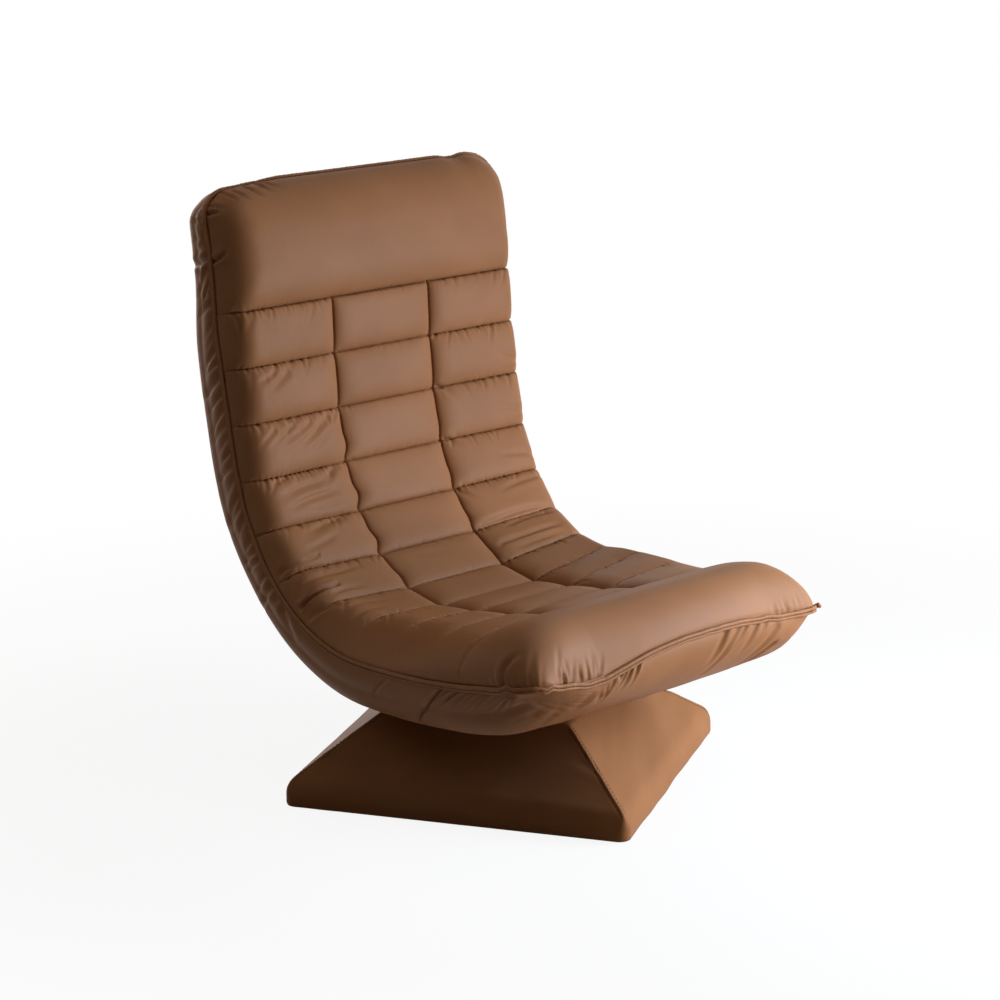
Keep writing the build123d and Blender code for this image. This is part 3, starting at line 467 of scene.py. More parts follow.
def crease(shift, along, across, line, depth, width, fade):
    """Presses a crease with raised edges into a grid, along a line of (along, across) points."""
    line = rounded(line)
    low, high = line.min(0) - 5 * width, line.max(0) + 5 * width
    box = (along > low[0]) & (along < high[0]) & (across > low[1]) & (across < high[1])
    if not box.any():
        return
    a, c = along[box], across[box]
    a, c = a + 0.9 * np.sin(c / 19.0 + a / 43.0), c + 0.9 * np.sin(a / 17.0 - c / 37.0)
    best, place, side = np.full(len(a), 1e9), np.zeros(len(a)), np.zeros(len(a))
    lengths = np.hypot(*np.diff(line, axis=0).T)
    run = 0.0
    for (a0, c0), (a1, c1), length in zip(line, line[1:], lengths):
        t = np.clip(((a - a0) * (a1 - a0) + (c - c0) * (c1 - c0)) / length ** 2, 0, 1)
        far = np.hypot(a - a0 - t * (a1 - a0), c - c0 - t * (c1 - c0))
        closer = far < best
        best = np.where(closer, far, best)
        place = np.where(closer, (run + t * length) / lengths.sum(), place)
        side = np.where(closer, ((a - a0) * (c1 - c0) - (c - c0) * (a1 - a0)) / length, side)
        run += length
    taper = smooth((1 - place) / fade[1])
    if fade[0] > 0:
        taper = taper * smooth(place / fade[0])
    best = best * (1 - 0.22 * np.tanh(side / width))
    dip = bell(best, width) - 0.42 * bell(best, 2.3 * width)
    shift[box] -= depth * taper * dip


def ripple(along, seed):
    """Smooth noise along a line, about -1 to 1."""
    flat = [noise.noise(Vector((float(x), seed * 3.7, 0.5))) for x in along.ravel()]
    return np.array(flat).reshape(along.shape)


STITCH_WAVE = 8.4
VALLEY_DEEP, VALLEY_WIDE = 1.6, 1.6


def stitch_pull():
    """Small scallops where each stitch draws the cloth in, and the stitch line's tight valley."""
    shift = np.zeros(pad.shape[:2])
    for k, i in enumerate(row_lines):
        w = pad_w[i][None, :]
        gap = pad_l - pad_l[[i]]
        sway = 4.0 * ripple(w / 55.0, k + 1)
        wave = np.cos(2 * np.pi * (w + sway) / STITCH_WAVE)
        strong = np.clip(0.55 + 0.9 * ripple(w / 70.0, k + 20), 0.15, 1.3)
        strong = strong * np.where(abs(w) < COLUMN_X, 0.55, 1.0)
        near = np.where(gap < 0, bell(gap, 10.0), 0.7 * bell(gap, 6.0))
        sewn = smooth((stitch_reach(ROWS[k]) - abs(pad_u[i])) / 40.0)[None, :]
        shift += 1.05 * strong * wave * near * sewn * (abs(gap) > 0.5)
        shift -= VALLEY_DEEP * bell(gap, VALLEY_WIDE) * sewn
    for n, j in enumerate(column_lines):
        gap = (pad_w - pad_w[:, [j]])[quilt_rows]
        length = pad_l[quilt_rows][:, [j]]
        sway = 4.0 * ripple(length / 60.0, n + 40)
        wave = np.cos(2 * np.pi * (length + sway) / STITCH_WAVE)
        shift[quilt_rows] += 0.4 * wave * bell(gap, 6.0) * (abs(gap) > 0.5)
        shift[quilt_rows] -= VALLEY_DEEP * bell(gap, VALLEY_WIDE)
    return shift


# Start, end and spacing across the pad, and range of slants, of the puckers below a row.
PUCKER_FANS = (
    (-320, -100, 17.0, (-1.3, -0.1)),
    (-90, 90, 42.0, (-0.5, 0.4)),
    (100, 320, 19.0, (-0.3, 1.1)),
)
PUCKER_FADE = (0.0, 0.85)
SEAT_ROWS_END = 330.0


def puckers(shift, dice):
    """Small folds that fan down and outwards from the cross stitches, and short ones above."""
    for row in ROWS:
        for low, high, step, slants in PUCKER_FANS:
            w = low + dice.uniform(0.0, step)
            while w < high:
                side = 1.0 if abs(w) > COLUMN_X else 0.5
                strong = side * float(smooth((stitch_reach(row) + 20.0 - abs(w)) / 40.0))
                strong *= 0.85 if row < SEAT_ROWS_END else 1.0
                long = dice.uniform(12.0, 42.0) * side
                slant = dice.uniform(*slants)
                bow = dice.uniform(-4.0, 4.0)
                line = [(row - 1.0, w), (row - 0.5 * long, w + 0.5 * slant * long + bow)]
                line.append((row - long, w + slant * long))
                deep, wide = strong * dice.uniform(0.9, 2.8), dice.uniform(2.4, 4.2)
                crease(shift, pad_l, pad_w, line, deep, wide, PUCKER_FADE)
                w += step * dice.uniform(0.5, 1.6)
        for w in np.arange(-300.0, 301.0, 31.0):
            w += dice.uniform(-12.0, 12.0)
            if abs(abs(w) - COLUMN_X) < 12:
                continue
            long = dice.uniform(6.0, 18.0)
            line = [(row + 1.0, w), (row + long, w + dice.uniform(-0.5, 0.5) * long)]
            deep, wide = dice.uniform(0.6, 1.6), dice.uniform(2.2, 3.4)
            crease(shift, pad_l, pad_w, line, deep, wide, PUCKER_FADE)


# Line of (along, across) points, depth, width and fades at both ends of each larger crease.
PAD_CREASES = [
    ([(487, -305), (487, -281), (486, -264), (488, -238), (490, -225)], 12.0, 3.0, (0.1, 0.12)),
    ([(508, -290), (512, -245), (516, -200), (518, -140)], 4.0, 5.5, (0.15, 0.5)),
    ([(549, -302), (555, -274), (556, -246)], 3.4, 4.6, (0.2, 0.5)),
    ([(468, -300), (455, -253), (428, -245)], 4.6, 5.5, (0.2, 0.5)),
    ([(475, -253), (481, -214), (478, -168)], 3.8, 5.0, (0.2, 0.5)),
    ([(429, -254), (427, -211), (419, -151)], 3.0, 5.5, (0.2, 0.5)),
    ([(406, -262), (404, -220), (400, -180)], 2.2, 5.0, (0.2, 0.6)),
    ([(850, -200), (836, -229), (820, -262)], 4.2, 5.5, (0.1, 0.6)),
    ([(849, -230), (841, -254), (836, -273)], 2.8, 4.2, (0.1, 0.6)),
    ([(766, -238), (755, -262), (744, -277)], 3.6, 4.6, (0.1, 0.6)),
    ([(769, -198), (752, -242), (738, -271)], 4.4, 5.0, (0.1, 0.6)),
    ([(768, -169), (752, -219), (736, -251)], 4.0, 5.0, (0.1, 0.6)),
    ([(774, -121), (749, -184), (728, -231)], 4.6, 6.0, (0.1, 0.6)),
    ([(755, -130), (738, -163), (725, -198)], 2.6, 5.0, (0.3, 0.6)),
    ([(694, -215), (690, -248), (686, -272)], 3.0, 4.4, (0.2, 0.5)),
    ([(679, -153), (675, -213), (667, -268)], 4.0, 5.6, (0.3, 0.5)),
    ([(662, -136), (656, -201), (646, -265)], 4.0, 6.0, (0.3, 0.5)),
    ([(644, -127), (642, -177), (642, -230)], 2.4, 5.0, (0.3, 0.5)),
    ([(615, -134), (603, -197), (595, -248)], 4.0, 6.0, (0.2, 0.5)),
    ([(585, -173), (577, -217), (571, -256)], 3.0, 5.0, (0.3, 0.5)),
    ([(564, -222), (556, -242), (560, -260)], 4.0, 3.4, (0.1, 0.4)),
    ([(696, -112), (688, -150), (672, -185)], 2.4, 5.0, (0.2, 0.6)),
    ([(786, 101), (766, 129), (749, 154)], 3.0, 4.6, (0.05, 0.7)),
    ([(707, 103), (690, 119), (679, 142)], 2.6, 4.4, (0.05, 0.7)),
    ([(617, 94), (595, 126), (574, 152)], 3.0, 4.8, (0.05, 0.7)),
    ([(547, 103), (552, 171), (548, 259)], 4.4, 5.0, (0.1, 0.3)),
    ([(522, 140), (527, 190), (520, 262)], 3.2, 5.0, (0.3, 0.3)),
    ([(493, 116), (495, 180), (488, 252)], 5.0, 4.6, (0.1, 0.3)),
    ([(475, 130), (478, 190), (470, 250)], 2.6, 5.0, (0.3, 0.4)),
    ([(590, 170), (600, 220), (602, 290)], 3.0, 5.0, (0.3, 0.3)),
    ([(660, 200), (652, 250), (640, 290)], 2.6, 4.6, (0.3, 0.3)),
    ([(738, 210), (726, 255), (716, 290)], 2.6, 4.6, (0.3, 0.3)),
    ([(818, 220), (806, 258), (798, 290)], 2.4, 4.4, (0.3, 0.3)),
    ([(520, -60), (508, -20), (512, 30)], 1.2, 7.0, (0.3, 0.5)),
    ([(46, -318), (47, -297), (38, -280), (25, -257)], 9.0, 4.0, (0.0, 0.6)),
    ([(1019, -312), (1022, -298), (1036, -283)], 8.0, 3.0, (0.0, 0.4)),
    ([(1086, -301), (1087, -289), (1088, -276)], 8.0, 2.8, (0.0, 0.5)),
    ([(1097, -289), (1095, -279), (1089, -268)], 5.5, 2.8, (0.0, 0.6)),
    ([(1125, -258), (1115, -253), (1105, -245)], 5.0, 2.8, (0.0, 0.6)),
    ([(1131, -241), (1119, -235), (1108, -220)], 5.0, 2.8, (0.0, 0.6)),
    ([(1147, -219), (1125, -212), (1105, -193)], 5.0, 3.0, (0.0, 0.6)),
    ([(1154, -196), (1130, -191), (1114, -178)], 4.6, 3.0, (0.0, 0.6)),
    ([(1152, -184), (1133, -175), (1118, -159)], 4.0, 3.0, (0.0, 0.6)),
]


def gathers(shift, along, across, dice, places, heading, count, long, deep, wide):
    """Small gathers that run off from the welt, spaced along a line of grid places."""
    starts = np.array([(along[place], across[place]) for place in places])
    for part in np.linspace(0, 1, count):
        part = np.clip(part + dice.uniform(-0.3, 0.3) / count, 0, 1) * (len(starts) - 1)
        k = min(int(part), len(starts) - 2)
        a, c = starts[k] + (part - k) * (starts[k + 1] - starts[k])
        far = dice.uniform(*long)
        da = heading[0] + dice.uniform(-0.3, 0.3)
        dc = heading[1] + dice.uniform(-0.3, 0.3)
        line = [(a, c), (a + 0.5 * far * da, c + 0.5 * far * dc)]
        line.append((a + far * da, c + far * dc + dice.uniform(-4, 4)))
        crease(shift, along, across, line, dice.uniform(*deep), dice.uniform(*wide), (0.0, 0.8))


# Grid places along the welt, heading, count and ranges of length, depth and width of the gathers.
PAD_GATHERS = (
    ([(0, j) for j in (8, 20, 34, 48, 62)], (1.0, 0.25), 14, (26, 56), (2.2, 4.8), (2.4, 4.0)),
    ([(i, 0) for i in (6, 14, 24, 36)], (0.35, 1.0), 9, (18, 40), (1.4, 3.2), (2.6, 4.0)),
    ([(0, j) for j in (-5, -14, -26, -40)], (1.0, -0.35), 10, (18, 40), (1.6, 3.4), (2.2, 3.6)),
    ([(-1, j) for j in (-5, -14, -26)], (-1.0, -0.3), 6, (12, 26), (1.0, 2.2), (2.4, 3.6)),
)


def worked(along, across, shift, creases, gathered, dice):
    """Adds a cover's listed creases and its gathers to a shift along its normals."""
    for row in creases:
        crease(shift, along, across, *row)
    for row in gathered:
        gathers(shift, along, across, dice, *row)


full_across, full_along = pad_fullness()
soft = np.where((pad_s < FRONT_PANEL) | (pad_s > QUILT_END), 0.03, 0.012)
pad = drape(
    pad, pinned, full_across, full_along, soft, rounds=100, press=0.02, bend=0.008, cap=14.0
)
pad_shift = stitch_pull()
puckers(pad_shift, np.random.default_rng(5))
worked(pad_l, pad_w, pad_shift, PAD_CREASES, PAD_GATHERS, np.random.default_rng(8))
full = 7.0 * bell(pad_l - 5.0, 45.0) * bell(pad_w + 225.0, 60.0)
pad_shift += full * smooth((pad_l + 45.0) / 30.0)
pad_shift -= 3.4 * bell(edge_gap(pad_l, pad_w), 5.0)
set_edges(pad_shift, 0)
pad = pad + pad_shift[:, :, None] * grid_normals(pad)

pad_main = grid_object("pad_cover", pad[:split + 1])
pad_head = grid_object("head_pad_cover", pad[split:])

# Stitches: places along a stitch, with its height over the cloth and its thickness there.

STITCH_AT = np.array([0.0, 0.18, 0.5, 0.82, 1.0])
STITCH_SINK = np.array([-0.9, 0.2, 0.5, 0.2, -0.9])[:, None]
STITCH_THICK = np.array([0.45, 0.95, 1.0, 0.95, 0.45])
STITCH_SIDES = 5


def thread_object(name, lines, length=5.2, gap=3.0, radius=0.65):
    """Short sewn stitches along lines of points; each line comes with its normals."""
    verts, faces = [], []
    thick = radius * STITCH_THICK
    last = (len(STITCH_AT) - 1) * STITCH_SIDES
    for points, normals in lines:
        run = run_of(points)
        for start in np.arange(gap / 2, run[-1] - length, length + gap):
            at = start + STITCH_AT * length
            p = np.stack([np.interp(at, run, points[:, c]) for c in range(3)], 1)
            n = unit(np.stack([np.interp(at, run, normals[:, c]) for c in range(3)], 1))
            side = unit(np.cross(p[-1] - p[0], n))
            p = p + n * (0.5 * STITCH_SINK + 0.2)
            ring = p[:, None] + thick[:, None, None] * rings(side, n, STITCH_SIDES)
            first = len(verts)
            verts += ring.reshape(-1, 3).tolist()
            for low in range(first, first + last, STITCH_SIDES):
                high = low + STITCH_SIDES
                for b in range(STITCH_SIDES):
                    c = (b + 1) % STITCH_SIDES
                    faces.append((low + b, low + c, high + c, high + b))
            faces.append(tuple(first + b for b in reversed(range(STITCH_SIDES))))
            faces.append(tuple(first + last + b for b in range(STITCH_SIDES)))
    return mesh_object(name, verts, faces)


pad_n = grid_normals(pad)
lines = []
for k, i in enumerate(row_lines):
    sewn = abs(pad_u[i]) < stitch_reach(ROWS[k]) - 14.0
    lines.append((pad[i, sewn], pad_n[i, sewn]))
lines += [(pad[quilt_rows, j], pad_n[quilt_rows, j]) for j in column_lines]
quilt_thread = thread_object("quilt_stitches", lines)

# Rear cover: numbers of grid steps across and of grid rows, and reach of its rounded ends.

N_SIDE, N_CORNER, N_FLAT = 26, 14, 150
N_FIRST, N_REAR, N_HEAD, N_LAST = 60, 400, 37, 30
REAR_FRONT, REAR_TOP = 110.0, 54.0
REAR_CURVE = 38.0
REAR_PULL = 4.0


def rear_lines():
    """Lengths s of the rear grid's rows, and the row at which the head's cover parts."""
    first = np.radians(np.linspace(0, 90, N_FIRST))
    last = np.radians(np.linspace(90, 0, N_LAST))
    out = [REAR_FRONT * (1 - np.cos(first)), np.linspace(REAR_FRONT, HEAD_SPLIT, N_REAR)[1:]]
    out.append(np.linspace(HEAD_SPLIT, SEAM_LEN - REAR_TOP, N_HEAD)[1:])
    out.append((SEAM_LEN - REAR_TOP * (1 - np.cos(last)))[1:])
    line = np.concatenate(out)
    line[0], line[-1] = 0.0, SEAM_LEN
    return line, N_FIRST + N_REAR - 2


rear_s, rear_split = rear_lines()


def rear_grid():
    """Rear cover before its creases: from the left seam round the back to the right seam."""
    s = rear_s[:, None]
    depth = rear_depth(s) * end_round(s, REAR_FRONT) * end_round(SEAM_LEN - s, REAR_TOP)
    full = np.clip(depth / 60.0, 0, 1)
    curve = np.minimum(REAR_CURVE, 0.8 * depth)
    pull = REAR_PULL * full
    side = np.linspace(0, 1, N_SIDE + 1)[None, :]
    arc = np.radians(np.linspace(0, 90, N_CORNER + 1))[None, 1:]
    run = np.linspace(-1, 1, N_FLAT + 1)[None, 1:-1]

    def flank(corner, rounder):
        half = half_width(s, corner)
        cut = half - half_width(s, corner + rounder)
        share = 1 - curve / np.maximum(depth, 1e-6)
        u_side = half - cut * share * side - pull * side + 4.0 * np.sin(np.pi * side) * full
        v_side = -(depth - curve) * side
        u_arc = half - cut * (share + (1 - share) * np.sin(arc)) - pull - curve * (1 - np.cos(arc))
        v_arc = -(depth - curve) - curve * np.sin(arc)
        return np.concatenate([u_side, u_arc], 1), np.concatenate([v_side, v_arc], 1)

    left_u, left_v = flank(LEFT_CORNER, 130.0)
    right_u, right_v = flank(RIGHT_CORNER, 50.0)
    low, high = -left_u[:, -1:], right_u[:, -1:]
    u_flat = (low + high) / 2 + (high - low) / 2 * run
    v_flat = -depth - 3.0 * (1 - run ** 2) * full
    u = np.concatenate([-left_u, u_flat, right_u[:, ::-1]], 1)
    v = np.concatenate([left_v, v_flat, right_v[:, ::-1]], 1)
    return s + 0 * u, u, v


rear_at = rear_grid()
rear_u = rear_at[1]
rear = droop(spot(*rear_at), *rear_at)
rear_l, rear_w = grid_lengths(rear, rear_split, rear.shape[1] // 2)
rear_l = rear_l + HEAD_SPLIT

# As in PAD_CREASES.
REAR_CREASES = [
    ([(156, -338), (147, -303), (139, -262)], 7.0, 2.5, (0.0, 0.3)),
    ([(268, -338), (262, -310), (246, -290)], 1.6, 3.5, (0.0, 0.6)),
    ([(1017, -336), (1022, -322), (1018, -296), (1014, -262)], 8.0, 4.5, (0.0, 0.5)),
    ([(1040, -334), (1052, -318), (1060, -290)], 3.0, 4.5, (0.0, 0.6)),
    ([(1072, -326), (1080, -306), (1084, -280)], 3.0, 4.0, (0.0, 0.6)),
    ([(1017, 336), (1022, 322), (1018, 296), (1014, 262)], 8.0, 4.5, (0.0, 0.5)),
    ([(520, -336), (480, -322), (440, -306), (428, -280)], 4.0, 7.0, (0.2, 0.5)),
    ([(505, 336), (478, 322), (446, 306), (430, 280)], 4.0, 7.0, (0.2, 0.5)),
]


def front_places(across):
    """Grid places on the front edge that are nearest to the given values of u."""
    return [(0, int(np.argmin(abs(rear_u[0] - u)))) for u in across]


def side_places(along, j):
    """Grid places in a side column that are nearest to the given values of s."""
    return [(int(np.argmin(abs(rear_s - s))), j) for s in along]


LEFT_U = (-240, -215, -190, -165, -135, -100, -70)
RIGHT_U = (262, 235, 205, 175, 140, 105)
CORNER_S = (6, 25, 57, 101, 143)
BACK_S = (503, 623, 743, 863, 984, 1058)

# As in PAD_GATHERS.
REAR_GATHERS = (
    (front_places(LEFT_U), (1.0, 0.1), 20, (22, 64), (3.0, 6.5), (2.8, 4.6)),
    (side_places(CORNER_S, 0), (0.2, 1.0), 14, (20, 50), (2.2, 4.8), (2.8, 4.2)),
    (front_places(RIGHT_U), (1.0, -0.5), 9, (30, 90), (2.6, 6.0), (4.0, 7.5)),
    (side_places(CORNER_S, -1), (0.2, -1.0), 9, (24, 50), (2.0, 4.0), (3.0, 4.6)),
    (side_places(BACK_S, 0), (-0.85, 1.0), 30, (22, 80), (2.0, 5.8), (3.2, 6.0)),
    (side_places(BACK_S, -1), (-0.85, -1.0), 30, (22, 80), (2.0, 5.8), (3.2, 6.0)),
)

rear_shift = np.zeros(rear.shape[:2])
worked(rear_l, rear_w, rear_shift, REAR_CREASES, REAR_GATHERS, np.random.default_rng(21))
slack = np.stack([rear_l / 95.0, rear_w / 70.0, 0 * rear_l], -1)
rear_shift += 1.6 * rumple(slack, 3) * smooth((345.0 - abs(rear_w)) / 30.0)
set_edges(rear_shift, 0)
seam_dip = bell(rear_l - HEAD_SPLIT, 3.0) * smooth((285.0 - abs(rear_w)) / 40.0)
rear_shift -= 2.0 * seam_dip
rear_gap = edge_gap(rear_l, rear_w)
rear_shift -= np.where(rear_gap > 0.01, 2.0 * bell(rear_gap, 5.0), 0.0)
rear = rear + rear_shift[:, :, None] * grid_normals(rear, True)
rear_main = grid_object("rear_cover", rear[:rear_split + 1], flip=True)
rear_head = grid_object("head_rear_cover_cloth", rear[rear_split:], flip=True)

# Welt round the outline: step along it, sides of its tubes, and radius and centre of each tube.

WELT_STEP = 2.5
TUBE_SIDES = 10
CORD, LIP = (3.0, (1.0, 1.2)), (2.2, (0.8, -3.7))


def outline_path(corner):
    """Seam outline from the middle of the front edge, along one side, to the middle of the top."""
    points = []
    front_half = SEAM_HALF - corner
    top_half = SEAM_HALF - TOP_CORNER
    for u in np.arange(0.0, front_half, WELT_STEP):
        points.append((0.0, u))
    for t in np.radians(np.arange(0, 90, 140.0 / corner)):
        points.append((corner * (1 - math.cos(t)), front_half + corner * math.sin(t)))
    for s in np.arange(corner, SEAM_LEN - TOP_CORNER, WELT_STEP):
        points.append((s, float(half_width(np.array(s), corner))))
    for t in np.radians(np.arange(0, 90, 3.2)):
        s = SEAM_LEN - TOP_CORNER + TOP_CORNER * math.sin(t)
        points.append((s, top_half + TOP_CORNER * math.cos(t)))
    for u in np.arange(top_half, -1e-6, -WELT_STEP):
        points.append((SEAM_LEN, u))
    return np.array(points)


def welt_points():
    """Values of s and u round the whole outline."""
    loop = outline_path(RIGHT_CORNER)
    other = outline_path(LEFT_CORNER)[::-1] * np.array([1, -1])
    loop = np.concatenate([loop, other[1:-1]])
    return loop[:, 0], loop[:, 1]


def tube_along(path, out, up, radius, centre):
    """Grid of points round a path: out and up are the section's directions at each point."""
    section = centre[:, None, 0:1] * out[:, None] + centre[:, None, 1:2] * up[:, None]
    return path[:, None] + section + radius[:, None, None] * rings(out, up, TUBE_SIDES)


welt_s, welt_u = welt_points()
welt_path = droop(spot(welt_s, welt_u, 0 * welt_s), welt_s, welt_u, 0 * welt_s)
turn = seam(welt_s)[2]
welt_up = np.stack([0 * turn, -np.sin(turn), np.cos(turn)], 1)
tangent = unit(np.roll(welt_path, -1, 0) - np.roll(welt_path, 1, 0))
welt_out = unit(np.cross(tangent, welt_up))
welt_run = run_of(welt_path)
gathered = bell(welt_s, 60.0) * smooth((abs(welt_u) - 120.0) / 60.0)
gathered = gathered + 0.8 * bell(SEAM_LEN - welt_s, 60.0) * smooth((abs(welt_u) - 130.0) / 60.0)
kink = 5.0 * bell(welt_s - 40.0, 8.0) * (welt_u < 0)
kink -= 2.6 * bell(welt_s, 30.0) * bell(welt_u + 256.0, 6.0)
kink += 2.2 * bell(welt_s, 30.0) * bell(welt_u + 243.0, 5.0)
lift = (0.5 + 1.3 * gathered) * ripple(welt_run / 21.0, 51) + kink
swing = (0.4 + 0.8 * gathered) * ripple(welt_run / 26.0, 52)
welt_path = welt_path + welt_up * lift[:, None] + welt_out * swing[:, None]


def welt_grid(chosen, radius, centre):
    """Round cord of the welt over the chosen points of the outline, puckered by its seam."""
    index = np.nonzero(chosen)[0]
    gap = np.nonzero(np.diff(index) > 1)[0]
    if len(gap):
        index = np.concatenate([index[gap[0] + 1:], index[:gap[0] + 1]])
    run, s = welt_run[index], welt_s[index]
    pucker = 0.06 * np.cos(2 * np.pi * run / 8.0)
    pucker = pucker + (0.08 + 0.12 * gathered[index]) * ripple(run / 7.0, 53)
    slim = smooth((s - 150.0) / 200.0) * smooth((SEAM_LEN - 20.0 - s) / 60.0)
    r = radius * (1 + pucker) * (1 - 0.2 * slim)
    c = np.tile(np.array(centre, float), (len(index), 1))
    c[:, 0] -= 1.4 * slim
    return tube_along(welt_path[index], welt_out[index], welt_up[index], r, c)


def welt_tail():
    """Short tucked end of the welt that stands out at the right front corner."""
    corner = int(np.argmin(abs(welt_s - 5.0) + 10.0 * (welt_u < 0)))
    count = 10
    part = np.linspace(0, 1, count)
    path = welt_path[corner] + (11.0 * part[:, None]) * welt_out[corner]
    path = path + (3.0 * np.sin(3.0 * part))[:, None] * welt_up[corner]
    side = np.tile(tangent[corner], (count, 1))
    up = np.tile(welt_up[corner], (count, 1))
    thick = 4.2 * np.sqrt(np.clip(1 - part ** 3, 0.005, 1)) * (1 + 0.15 * np.cos(9.0 * part))
    return tube_along(path, side, up, thick, np.zeros((count, 2)))


def joined_tubes(name, grids):
    """One object from several tubes."""
    parts = [grid_object(name + "_%d" % k, g, wrap=True) for k, g in enumerate(grids)]
    with bpy.context.temp_override(active_object=parts[0], selected_editable_objects=parts):
        bpy.ops.object.join()
    parts[0].name = name
    parts[0].data.name = name
    return parts[0]


main_part = welt_s <= HEAD_SPLIT
head_part = np.roll(~main_part, 1) | np.roll(~main_part, -1) | ~main_part
welts = []
for name, chosen in (("welt", main_part), ("head_welt", head_part)):
    tubes = [welt_grid(chosen, *CORD), welt_grid(chosen, *LIP)]
    if name == "welt":
        tubes.append(welt_tail())
    welts.append(joined_tubes(name, tubes))
welt_main, welt_head = welts

# Base cover: points along an edge and round a corner, reach of the bend between plinth and
# slope, how far the cloth stands out from the solid, its corners' radius at the hem and how much
# smaller they are on the slopes, distance of the topstitches from a ridge, half width of the
# opening in the top, the grid row at the top of the slopes, and the sag at the ridges.

N_EDGE, N_ROUND = 90, 8
KNEE = 20.0
PUFF = 2.5
SLOPE_RUN, SLOPE_RISE = BASE_HALF - BASE_TOP_HALF, COVER_TOP - PLINTH
SLOPE_LEN = math.hypot(SLOPE_RUN, SLOPE_RISE)
CORNER_LOW, CORNER_CUT = 16.0, 10.5
RIDGE_GAP = 5.5
TOP_HOLE = 111.0
SLOPE_TOP = -5
SAG = 1.6


def square_ring(half, corner, z):
    """Points round a rounded square, closer together towards its corners."""
    points = []
    even = np.linspace(-1, 1, N_EDGE, endpoint=False)
    even = 0.4 * even + 0.6 * np.sin(np.pi / 2 * even)
    for side in range(4):
        angle = side * math.pi / 2
        c, s_ = math.cos(angle), math.sin(angle)
        inner = half - corner
        local = [(half, t * inner) for t in even]
        for t in np.radians(np.linspace(0, 90, N_ROUND, endpoint=False)):
            local.append((inner + corner * math.cos(t), inner + corner * math.sin(t)))
        points += [(c * x - s_ * y, s_ * x + c * y, z) for x, y in local]
    return points


def base_levels():
    """Half width and height of the base cover, from its hem up to its top edge."""
    side = BASE_HALF + PUFF
    levels = [(side - 10, HEM_Z + 1.2), (side - 4, HEM_Z), (side - 0.8, HEM_Z + 1.2)]
    levels += [(side, HEM_Z + z) for z in (4.0, 8.0, 12.0)]
    low = np.array((side, PLINTH - KNEE))
    mid = np.array((side, PLINTH))
    high = mid + KNEE / SLOPE_LEN * np.array((-SLOPE_RUN, SLOPE_RISE))
    for t in np.linspace(0, 1, 14):
        levels.append(tuple((1 - t) ** 2 * low + 2 * t * (1 - t) * mid + t * t * high))
    for t in np.linspace(KNEE / SLOPE_LEN, 1, 48)[1:-1]:
        levels.append((side - SLOPE_RUN * t, PLINTH + SLOPE_RISE * t))
    levels += [(BASE_TOP_HALF + 1.0, COVER_TOP - 1.0), (BASE_TOP_HALF - 3.0, COVER_TOP + 0.4)]
    levels += [(BASE_TOP_HALF - 12.0, COVER_TOP + 0.2), (TOP_HOLE, COVER_TOP - 0.4)]
    return levels


# Side, line of (along, across) points, depth and width of each fold.
BASE_FOLDS = [
    (2, [(104, 6), (92, 26), (66, 62)], 3.0, 9.0),
    (2, [(122, 8), (116, 40), (108, 96)], 2.4, 9.0),
    (2, [(150, 14), (132, 22), (112, 34)], 2.4, 7.0),
    (2, [(100, 470), (84, 440), (60, 396)], 2.0, 10.0),
    (3, [(102, 8), (90, 34), (70, 70)], 1.8, 10.0),
    (3, [(104, 474), (90, 444), (70, 400)], 1.8, 10.0),
    (0, [(104, 8), (90, 40), (64, 80)], 2.0, 10.0),
    (1, [(104, 470), (88, 436), (62, 392)], 2.0, 10.0),
]


def ridge_sag(gap, z):
    """How far the cloth hangs down near the foot of a ridge."""
    return SAG * bell(gap, 45.0) * smooth((z - 14.0) / 14.0) * smooth((90.0 - z) / 45.0)


def base_grid():
    """Base cover with its folds, slack faces, raised ridge seams and uneven hem."""
    levels = []
    for half, z in base_levels():
        corner = CORNER_LOW - CORNER_CUT * float(smooth((z - 14.0) / 26.0))
        levels.append(square_ring(half, corner, z))
    points = np.array(levels)
    x, y, z = points[..., 0], points[..., 1], points[..., 2]
    along = run_of(points)
    along = along[[SLOPE_TOP]] - along
    gap = abs(abs(x) - abs(y))
    shift = np.zeros(points.shape[:2])
    sloped = smooth((z - 30.0) / 14.0) * smooth((COVER_TOP - z) / 10.0)
    shift += 1.4 * bell(gap, 3.6) * sloped
    shift -= 0.9 * bell(gap - RIDGE_GAP, 1.8) * sloped
    shift += 1.5 * rumple(points / 110.0, 31) * smooth(gap / 40.0) * sloped
    shift += 1.2 * rumple(points / 60.0, 32) * smooth((60.0 - z) / 20.0)
    column = np.arange(points.shape[1]) // (N_EDGE + N_ROUND)
    turned = (y, -x, -y, x)
    for side, line, deep, wide in BASE_FOLDS:
        across = np.where(column[None, :] == side, BASE_HALF + PUFF + turned[side], 1e6)
        crease(shift, along, across, line, deep, wide, (0.05, 0.6))
    points = points + shift[:, :, None] * grid_normals(points)
    points[..., 2] -= ridge_sag(gap, z)
    low = smooth((16.0 - z) / 14.0)
    angle = np.stack([x / 70.0, y / 70.0, 0 * x], -1)
    points[..., 2] += 1.5 * low * (0.35 + rumple(angle, 33))
    return points


